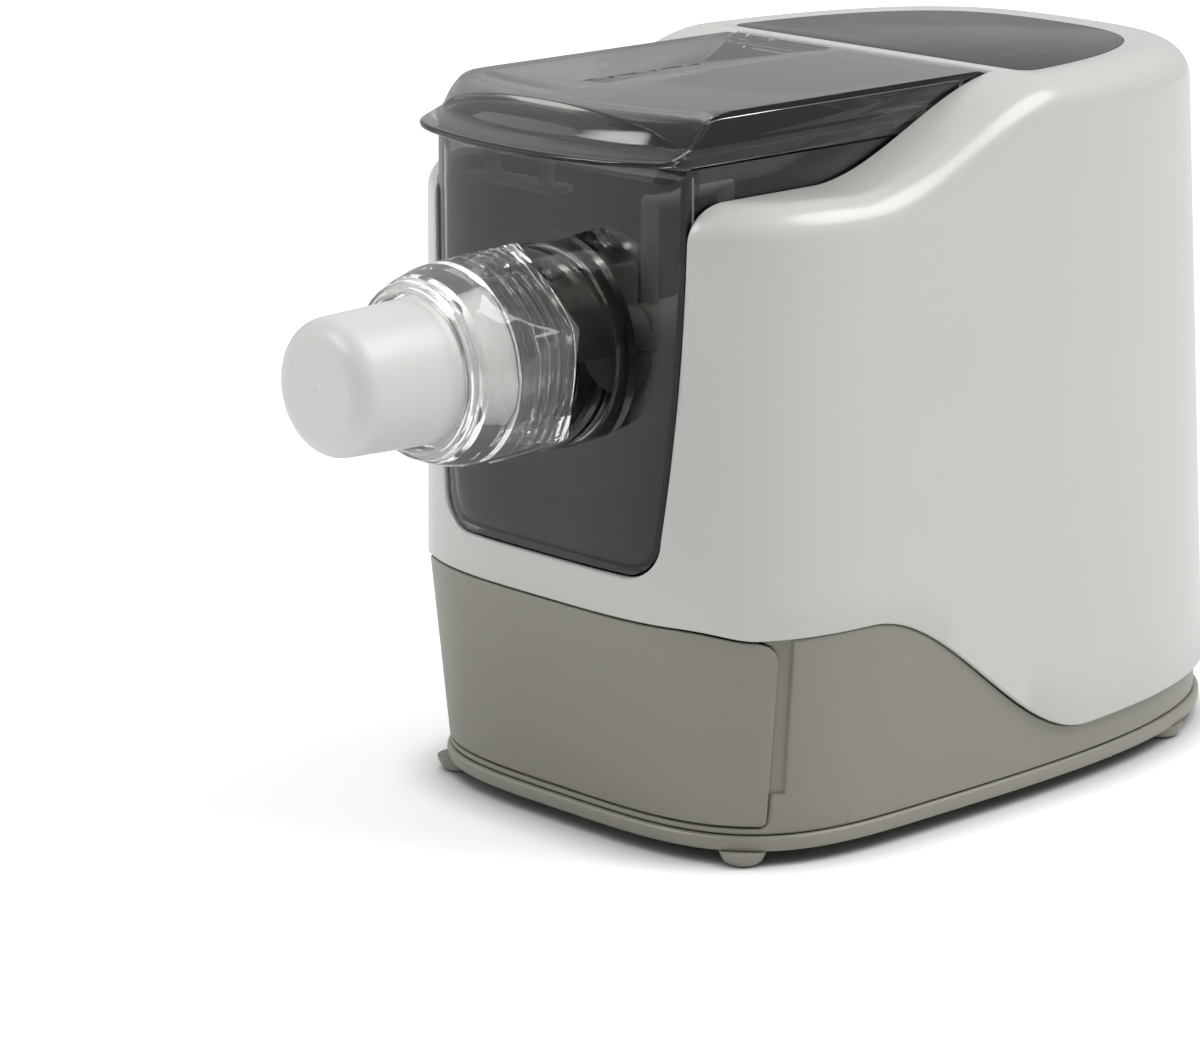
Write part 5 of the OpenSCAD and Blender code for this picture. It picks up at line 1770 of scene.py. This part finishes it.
@dataclass
class PouringLid(Part):
    """Smoked lid with the pouring well on its left and the curled lip in front."""

    lid_h: float = 19.0
    gap: float = 0.6
    thick: float = 2.5
    front: float = 90.0
    bow: float = 15.0
    lip: float = 23.8
    lip_corner: float = 3.5
    corner_back: float = 5.5
    corner_n: float = 2.4
    flat_half: float = 45.0
    hinge_y: float = 52.0
    hinge_z: float = 272.0
    hinge_r: float = 8.0
    heel: Curve = ((58.5, 268.0), (56.0, 266.0), (46.5, 266.0))
    heel_end: float = 45.5
    back_in: float = 8.5
    below: float = 5.0
    well_depth: float = 4.8
    well_lap: float = 0.4
    well_corner: float = 12.0
    slots: int = 3
    slot_l: float = 19.0
    slot_gap: float = 3.5
    slot_depth: float = 20.0
    slot_rim: tuple[float, float] = (1.0, 2.0)
    pin_r: float = 1.28
    pin_l: float = 12.0
    edge: float = 0.5
    columns: int = 48
    upper: Curve = ((-23.8, -16.3), (-23.7, -15.75), (-23.35, -15.3), (-22.5, -14.75), (-21.0, -14.15),
                    (-17.0, -12.9), (-13.6, -11.7), (-12.2, -10.7), (-11.0, -9.0), (-9.0, -6.3),
                    (-6.2, -3.6), (-2.6, -1.4), (2.0, -0.35), (7.0, 0.0), (12.0, 0.0))
    lower: Curve = ((7.0, -2.6), (2.0, -2.95), (-1.4, -3.9), (-4.6, -5.9), (-7.2, -8.6), (-9.4, -11.6),
                    (-11.2, -13.3), (-14.0, -14.5), (-17.6, -15.6), (-21.8, -17.08))
    nose: Curve = ((-22.5, -17.22), (-23.05, -17.2), (-23.45, -16.98), (-23.7, -16.65))
    well_x: tuple[float, float] = (-66.0, -6.5)
    well_y: tuple[float, float] = (-80.5, 56.0)
    floor_x: tuple[float, float] = (-41.0, -37.0)
    floor_y: tuple[float, float] = (-57.5, 10.5)

    @property
    def bottom(self) -> float:
        """Height of the lid's lower edge."""
        return FORM.body_h - self.lid_h + self.gap / 2

    def front_edge(self, x: float) -> float:
        """Depth at which the flat top ends in front.

        Args:
            x: Place across the lid.

        Returns:
            The depth.
        """
        past = max(0.0, abs(x) - self.flat_half) / (FORM.window_w - self.flat_half)
        corner = self.corner_back * past ** self.corner_n
        return FORM.plan_y - self.front - self.bow * (1 - (x / FORM.window_w) ** 2) + corner

    def _reach(self, x: float) -> float:
        """Share of the lip's reach that is left near its rounded ends."""
        past = max(0.0, abs(x) - (FORM.window_w - self.lip_corner)) / self.lip_corner
        return 1 - self.lip_corner * (1 - math.sqrt(max(0.0, 1 - past * past))) / self.lip

    @staticmethod
    def _wall(x: float) -> float:
        """Depth of the chamber's front under the lid."""
        return float(FORM.face_y(np.array(x), np.array(FORM.chamber_top), FORM.panel_recess))

    def _under(self, rel: np.ndarray) -> np.ndarray:
        """Height of the lip's underside, from the top, at distances behind the front edge."""
        line = through(self.lower)[::-1]
        return np.interp(rel, line[:, 0], line[:, 1])

    def _outer(self, x: float) -> Ring:
        """Makes the closed section of the lid's outside.

        Args:
            x: Place of the section across the lid.

        Returns:
            The section.
        """
        edge, reach, top = self.front_edge(x), self._reach(x), FORM.body_h
        curl = np.minimum(through(self.upper, 4), [FAR, 0]) * [reach, 1] + [edge, top]
        arc = np.radians(np.linspace(90, 36, 5))
        back = np.column_stack([self.hinge_y + self.hinge_r * np.cos(arc),
                                self.hinge_z + self.hinge_r * np.sin(arc)])
        wall = self._wall(x)
        rel = np.linspace(wall - edge, self.lower[-1][0], 14)
        below = np.column_stack([rel, self._under(rel)]) + [edge, top]
        shrink = np.clip((wall - below[:, 0]) / (wall - below[-1, 0]), 0, 1) ** 1.5
        below[:, 0] += shrink * self.lip * (1 - reach)
        nose = np.array(self.nose) * [reach, 1] + [edge, top]
        foot = [[self.heel_end, self.bottom], [wall, self.bottom]]
        section = np.vstack([curl, back, self.heel, foot, below, nose])
        return np.column_stack([np.full(len(section), x), section])

    def _inner(self, x: float) -> Ring:
        """Makes the closed section of the lid's inside, which is open below.

        Args:
            x: Place of the section across the lid.

        Returns:
            The section.
        """
        edge, top, low = self.front_edge(x), FORM.body_h, self.bottom - self.below
        wall = self._wall(x) + self.thick
        rel = np.linspace(wall - edge, self.lower[0][0], 10)
        roof = np.column_stack([rel, self._under(rel)]) + [edge, top]
        rear = self.hinge_y - self.back_in
        section = np.vstack([[[wall, low]], roof, [[rear, top - self.thick], [rear, low]]])
        return np.column_stack([np.full(len(section), x), section])

    def _well(self, top: float, bottom: float, grow: float) -> bpy.types.Object:
        """Solid of the pouring well.

        Args:
            top: Height of its rim.
            bottom: Height of its floor.
            grow: Distance outside the well's own faces.

        Returns:
            The solid.
        """
        (x0, x1), (y0, y1) = self.well_x, self.well_y
        (u0, u1), (v0, v1) = self.floor_x, self.floor_y
        g = grow
        points = [[x0 - g, y0 - g, top], [x1 + g, y0 + self.well_corner - g, top], [x1 + g, y1 + g, top],
                  [x0 - g, y1 + g, top], [u0 - g, v0 - g, bottom], [u1 + g, v0 - g, bottom],
                  [u1 + g, v1 + g, bottom], [u0 - g, v1 + g, bottom]]
        faces = [[3, 2, 1, 0], [4, 5, 6, 7]]
        for i in range(4):
            j = (i + 1) % 4
            faces += [[i, j, j + 4], [i, j + 4, i + 4]]
        return make_object("well", np.array(points), faces)

    def build(self) -> None:
        """Makes the lid and puts it in place."""
        w = FORM.window_w
        grid = w * np.sin(np.linspace(-math.pi / 2, math.pi / 2, self.columns))
        lid = stack("pouring_lid", [self._outer(x) for x in grid], End.FLAT, End.FLAT)
        inside = np.linspace(-w + self.thick, w - self.thick, 20)
        cavity = stack("cavity", [self._inner(x) for x in inside], End.FLAT, End.FLAT)
        top = FORM.body_h
        floor = top - self.well_depth
        combine(cavity, [self._well(top - self.thick + self.well_lap, floor - self.thick, 0.2)])
        combine(lid, [cavity, self._well(top + 0.01, floor, 0)])
        combine(lid, self._slots() + [self._pin_hole()])
        soften(lid, self.edge, 3, 28)
        self.place(smooth_shade(lid, 24), "lid", "smoked_plastic", "lid")

    def _slots(self) -> list[bpy.types.Object]:
        """Makes the cutters of the slots in the well's floor.

        Returns:
            The cutters.
        """
        side, end = self.slot_rim
        left, right = self.floor_x[0] + side, self.floor_x[1] - side
        cutters = []
        for i in range(self.slots):
            y = self.floor_y[0] + end + i * (self.slot_l + self.slot_gap)
            cutters.append(block(f"slot_{i}", (left, y, FORM.body_h - self.slot_depth),
                                 (right, y + self.slot_l, FORM.body_h)))
        return cutters

    def _pin_hole(self) -> bpy.types.Object:
        """Makes the cutter of the hinge pins' holes.

        Returns:
            The cutter.
        """
        turn = np.linspace(0, 2 * math.pi, 24, endpoint=False)
        circle = np.column_stack([self.hinge_y + self.pin_r * np.cos(turn),
                                  self.hinge_z + self.pin_r * np.sin(turn)])
        inner = FORM.window_w - self.pin_l
        right = bar("pin_right", circle, FAR, inner)
        return combine(bar("pin_left", circle, -FAR, -inner), [right], "UNION")


# ---------------------------------------------------------------- nozzle


@dataclass
class Nozzle(Part):
    """White noodle die and the clear clamp nut that holds it."""

    die_face: float = -216.5
    die_l: float = 52.5
    die_r: float = 25.6
    die_root: float = 27.6
    die_edge: float = 9.0
    die_t: float = 3.0
    flange_r: float = 32.3
    flange_t: float = 13.5
    flange_edge: float = 0.8
    gate: Curve = ((0.0, 0.35), (0.8, 0.35), (1.1, 0.1), (1.5, 0.0))
    slots: int = 6
    slot_x: float = 8.0
    slot_pitch: float = 6.2
    slot_l: float = 5.0
    slot_w: float = 1.6
    nut_r: float = 42.2
    nose_r: float = 33.0
    nose_l: float = 8.0
    thread_l: float = 24.0
    pitch: float = 4.5
    play: float = 0.7
    tube_r: float = 32.0
    ridge: float = 2.0
    groove: Curve = ((0.2, 0.0), (1.4, -0.7), (1.4, -1.9), (0.2, -2.6))
    grip_flat: float = 36.8
    grip_turn: float = 21.3
    grip_bow: float = 0.4
    rib_h: float = 0.4
    rib_w: float = 0.9
    rings: Curve = ((-4.6, 0.6), (-4.0, 0.1), (-3.2, 0.0), (-2.4, 0.25), (-2.0, 0.8), (-1.6, 0.9),
                    (-0.9, 0.9), (-0.3, 1.4), (0.0, 2.4), (-0.15, 3.4), (0.1, 3.9), (0.7, 4.2),
                    (1.2, 5.0), (1.6, 6.2), (2.2, 8.0))

    @property
    def flange_front(self) -> float:
        """Depth of the front of the die's flange."""
        return self.die_face + self.die_l

    @property
    def flange_back(self) -> float:
        """Depth of the back of the die's flange."""
        return self.flange_front + self.flange_t

    def build(self) -> None:
        """Makes the die and the nut and puts them in place."""
        self.place(smooth_shade(self._die(), 30), "die", "white_plastic", "die")
        self.place(smooth_shade(self._nut(), 24), "nut", "clear_plastic", "clamp_nut")

    def _die(self) -> bpy.types.Object:
        """Makes the hollow die with its noodle slots and moulding gate.

        Returns:
            The die.
        """
        y0, r, t, e = self.die_face, self.die_r, self.die_t, self.flange_edge
        front, back, bore = self.flange_front, self.flange_back, self.die_root - self.die_t
        profile = [(radius, y0 + depth) for radius, depth in self.gate]
        profile += round_profile((r - self.die_edge, y0 + self.die_edge), self.die_edge, -90, 0, 12)
        profile += [(self.die_root - 0.4, front - 0.4), (self.die_root, front)]
        profile += round_profile((self.flange_r - e, front + e), e, -90, 0, 3)
        profile += round_profile((self.flange_r - e, back - e), e, 0, 90, 3)
        profile += [(bore, back), (bore, front)]
        inner = (r - self.die_edge - 0.5, y0 + self.die_edge + t)
        profile += round_profile(inner, self.die_edge - 2.5, 0, -90, 8)
        profile += [(0.0, y0 + t + 2.5)]
        die = turned("noodle_die", profile, FORM.drive_z)
        cutters = []
        for i in range(self.slots):
            y = y0 + self.die_edge + 1 + i * self.slot_pitch
            for x in (-self.slot_x, self.slot_x):
                cutters.append(block(f"slot_{i}_{x}", (x - self.slot_w / 2, y, FORM.drive_z - 40),
                                     (x + self.slot_w / 2, y + self.slot_l, FORM.drive_z - 10)))
        return combine(die, cutters)

    def _grip(self, turn: np.ndarray) -> np.ndarray:
        """Radius of the grip's bowed hexagon over the angle."""
        off = math.radians(30) - np.abs(self._off_edge(turn))
        return self.grip_flat / np.cos(off) + self.grip_bow * np.cos(3 * off)

    def _off_edge(self, turn: np.ndarray) -> np.ndarray:
        """Angle from the nearest of the six grip edges, from -30 to 30 degrees in radians."""
        around = (turn - math.radians(self.grip_turn)) / (math.pi / 3)
        return (around - np.round(around)) * math.pi / 3

    def _nut(self) -> bpy.types.Object:
        """Makes the nut: ringed nose, bell, six-sided grip and inner thread.

        Returns:
            The nut.
        """
        nose = self.flange_front - 0.3 - self.nose_l
        tube_end = self.flange_back + 0.4
        back = tube_end + self.thread_l
        mid = (nose + self.nose_l + back) / 2
        crest = self.tube_r + self.ridge + self.play
        rim = self.nut_r + 0.5
        outside = [(self.nose_r + grow, nose + depth) for grow, depth in self.rings]
        bell = through([outside[-1], (self.nut_r - 5.2, nose + 14.5), (self.nut_r - 3.7, mid - 5),
                        (self.nut_r - 2.2, mid), (self.nut_r - 0.8, back - 12), (self.nut_r, back - 8)], 5)
        outside += [tuple(p) for p in bell[1:]]
        outside += [(self.nut_r, back - 4.2), (rim, back - 3.8), (rim, back - 0.5), (self.nut_r, back)]
        inside = [(crest + 1.0, back), (crest + 0.2, back - 0.9)]
        for i in range(int((self.thread_l - 3) / self.pitch)):
            y = back - 2.2 - i * self.pitch
            inside += [(crest + out, y + depth) for out, depth in self.groove]
        seat, hole, front = self.flange_r + self.play, self.die_root + self.play, self.flange_front - 0.3
        inside += [(crest + 0.2, tube_end - 1), (seat, tube_end - 1), (seat, front), (hole, front),
                   (hole, nose + 1.4)]

        def radius_at(turn: np.ndarray, radius: float, depth: float) -> np.ndarray:
            """Bounds the outside by the grip, with a rim behind and a rib on each of its six edges.

            Args:
                turn: Angles about the axis.
                radius: Radius of the profile's point.
                depth: Depth of that point.

            Returns:
                The radii at the angles.
            """
            if radius <= crest + 1.4 and depth > nose + self.nose_l + 0.1:
                return np.full(len(turn), radius)
            over = radius - self.nut_r if radius > self.nut_r else 0.0
            grip = np.minimum(self._grip(turn), self.nut_r)
            off = self._off_edge(turn) * self.nut_r
            rib = np.where(depth > mid - 5, self.rib_h * np.exp(-(off / self.rib_w) ** 4), 0.0)
            return np.minimum(np.minimum(radius, grip) + over + rib, self.nut_r)

        return turned("clear_clamp_nut", outside + inside, FORM.drive_z, radius_at, 288)


# ---------------------------------------------------------------- carried-over pieces


@dataclass
class InnerWorks(Part):
    """CAD pieces that keep their shape and get their finish here."""

    nodes: dict[str, bpy.types.Object]
    subparts: list[dict]

    def build(self) -> None:
        """Dresses every CAD node that is still shown."""
        for row in self.subparts:
            piece = self.nodes[row["node"]]
            if not piece.hide_render:
                self.palette.dress(piece, row["material_slot"])
                LOG.info("%s: dressed as %s", piece.name, row["material_slot"])


# ---------------------------------------------------------------- studio


@dataclass
class Studio:
    """Plain pale table with a painted contact shadow, soft light and the camera."""

    azimuth: float = 47.1
    elevation: float = 14.7
    lens: float = 141.44
    sensor: float = 36.0
    distance: float = 1.9397
    view_end: float = 50.0
    target: tuple[float, float, float] = (-0.1143, 0.0269, 0.0725)
    ambient_low: float = 0.1
    ambient_rise: float = 0.7
    mirror_low: float = 0.52
    mirror_rise: float = 0.4
    sun_strength: float = 1.55
    sun_azimuth: float = 140.0
    sun_elevation: float = 52.0
    sun_spread: float = 35.0
    fill_strength: float = 0.75
    fill_azimuth: float = -50.0
    fill_elevation: float = 12.0
    fill_spread: float = 60.0
    box_azimuth: float = -21.0
    box_elevation: float = 42.0
    box_spread: float = 17.0
    box_core: float = 0.6
    box_strength: float = 9.0
    floor_size: float = 12.0
    floor_glow: float = 0.45
    floor_noise: float = 3.0
    floor_dark: Colour = (0.93, 0.93, 0.93)
    floor_light: Colour = (0.95, 0.95, 0.95)
    floor_roughness: float = 0.8
    floor_specular: float = 0.1
    painted_shadow_reach: float = 0.03
    painted_shadow_tone: Colour = (0.3, 0.3, 0.31)
    painted_shadow_fade: tuple[float, float] = (0.25, 0.95)

    @staticmethod
    def _towards(azimuth: float, elevation: float) -> Vector:
        """Direction from the object, with azimuth 0 in front and 90 on its right (+X)."""
        a, e = math.radians(azimuth), math.radians(elevation)
        return Vector((math.sin(a) * math.cos(e), -math.cos(a) * math.cos(e), math.sin(e)))

    def build(self) -> None:
        """Makes the camera, table, world and lights."""
        self._camera()
        self._floor()
        self._world()
        self._sun("key", self.sun_strength, self.sun_azimuth, self.sun_elevation, self.sun_spread)
        self._sun("fill", self.fill_strength, self.fill_azimuth, self.fill_elevation, self.fill_spread)

    def _camera(self) -> None:
        """Places the camera and makes it the scene's."""
        data = bpy.data.cameras.new("camera")
        data.lens = self.lens
        data.sensor_width = self.sensor
        data.clip_end = self.view_end
        camera = bpy.data.objects.new("camera", data)
        bpy.context.scene.collection.objects.link(camera)
        target = Vector(self.target)
        camera.location = target + self.distance * self._towards(self.azimuth, self.elevation)
        camera.rotation_euler = (target - camera.location).to_track_quat("-Z", "Y").to_euler()
        bpy.context.scene.camera = camera

    def _floor(self) -> None:
        """Lays the table under the feet, with a painted contact shadow round the machine's base."""
        half = self.floor_size / 2 / MM
        corners = np.array([[-half, -half, 0], [half, -half, 0], [half, half, 0], [-half, half, 0]])
        floor = make_object("table_top", corners, [[0, 1, 2, 3]])
        material = bpy.data.materials.new("pale_table")
        material.use_nodes = True
        nodes = Nodes(material.node_tree)
        shader = material.node_tree.nodes["Principled BSDF"]
        noise = nodes.add("ShaderNodeTexNoise", {"Scale": self.floor_noise})
        tone = nodes.mix(noise.outputs["Fac"], (*self.floor_dark, 1), (*self.floor_light, 1))
        shader.inputs["Roughness"].default_value = self.floor_roughness
        shader.inputs["Specular IOR Level"].default_value = self.floor_specular
        path = nodes.add("ShaderNodeLightPath")
        # Painted contact shadow: close to the machine the floor's colour turns dark and its glow fades, for
        # camera rays.
        near = nodes.add("ShaderNodeAmbientOcclusion", {"Distance": self.painted_shadow_reach}, samples=12)
        open_sky = nodes.ramp(near.outputs["AO"], *self.painted_shadow_fade)
        unseen = nodes.minus(1.0, path.outputs["Is Camera Ray"])
        shaded = nodes.mix(nodes.larger(open_sky, unseen), (*self.painted_shadow_tone, 1), tone)
        material.node_tree.links.new(shaded, shader.inputs["Base Color"])
        seen = nodes.larger(path.outputs["Is Camera Ray"], path.outputs["Is Transmission Ray"])
        shader.inputs["Emission Color"].default_value = (1, 1, 1, 1)
        glow = nodes.times(nodes.times(seen, self.floor_glow), open_sky)
        material.node_tree.links.new(glow, shader.inputs["Emission Strength"])
        floor.data.materials.append(material)

    def _world(self) -> None:
        """Lights the object gently from white surroundings, with one soft box that only mirrors show."""
        world = bpy.data.worlds.new("studio")
        bpy.context.scene.world = world
        world.use_nodes = True
        nodes = Nodes(world.node_tree)
        background = world.node_tree.nodes["Background"]
        path = nodes.add("ShaderNodeLightPath")
        direction = nodes.add("ShaderNodeTexCoord").outputs["Generated"]
        height = nodes.larger(nodes.add("ShaderNodeSeparateXYZ", {0: direction}).outputs["Z"], 0.0)
        soft = nodes.plus(nodes.times(height, self.ambient_rise), self.ambient_low)
        mirror = nodes.plus(nodes.times(height, self.mirror_rise), self.mirror_low)
        box = self._towards(self.box_azimuth, self.box_elevation)
        facing = nodes.vector("DOT_PRODUCT", direction, box).outputs["Value"]
        rim = math.cos(math.radians(self.box_spread))
        core = math.cos(math.radians(self.box_spread * self.box_core))
        softbox = nodes.ramp(facing, rim, core, 0.0, self.box_strength)
        mirror = nodes.plus(mirror, softbox)
        sharp = nodes.larger(path.outputs["Is Glossy Ray"], path.outputs["Is Transmission Ray"])
        lit = nodes.plus(nodes.times(sharp, mirror), nodes.times(nodes.minus(1.0, sharp), soft))
        seen = path.outputs["Is Camera Ray"]
        strength = nodes.plus(seen, nodes.times(nodes.minus(1.0, seen), lit))
        background.inputs["Color"].default_value = (1, 1, 1, 1)
        world.node_tree.links.new(strength, background.inputs["Strength"])

    def _sun(self, name: str, strength: float, azimuth: float, elevation: float, spread: float) -> None:
        """Adds a large soft light that is far away.

        Args:
            name: Name of the light.
            strength: Its strength.
            azimuth: Direction that it comes from.
            elevation: Its height above the horizon in degrees.
            spread: Its apparent size in degrees.
        """
        data = bpy.data.lights.new(name, "SUN")
        data.energy = strength
        data.angle = math.radians(spread)
        light = bpy.data.objects.new(name, data)
        light.rotation_euler = self._towards(azimuth, elevation).to_track_quat("Z", "Y").to_euler()
        bpy.context.scene.collection.objects.link(light)


def main() -> None:
    """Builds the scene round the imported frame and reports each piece."""
    logging.basicConfig(level=logging.INFO, format="%(name)s: %(message)s")
    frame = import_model()
    bpy.context.scene.view_settings.view_transform = "Standard"
    Part.palette = Palette()
    Studio().build()
    for part in (WhiteShell(), TouchPanel(), LowerHousing(), BasePlate(), StorageDrawer(), ChamberFront(),
                 PouringLid(), Nozzle(), InnerWorks(frame["nodes"], frame["record"]["subparts"])):
        part.build()
    LOG.info("%d detailed pieces made", len(Part.made))


if __name__ == "__main__":
    main()
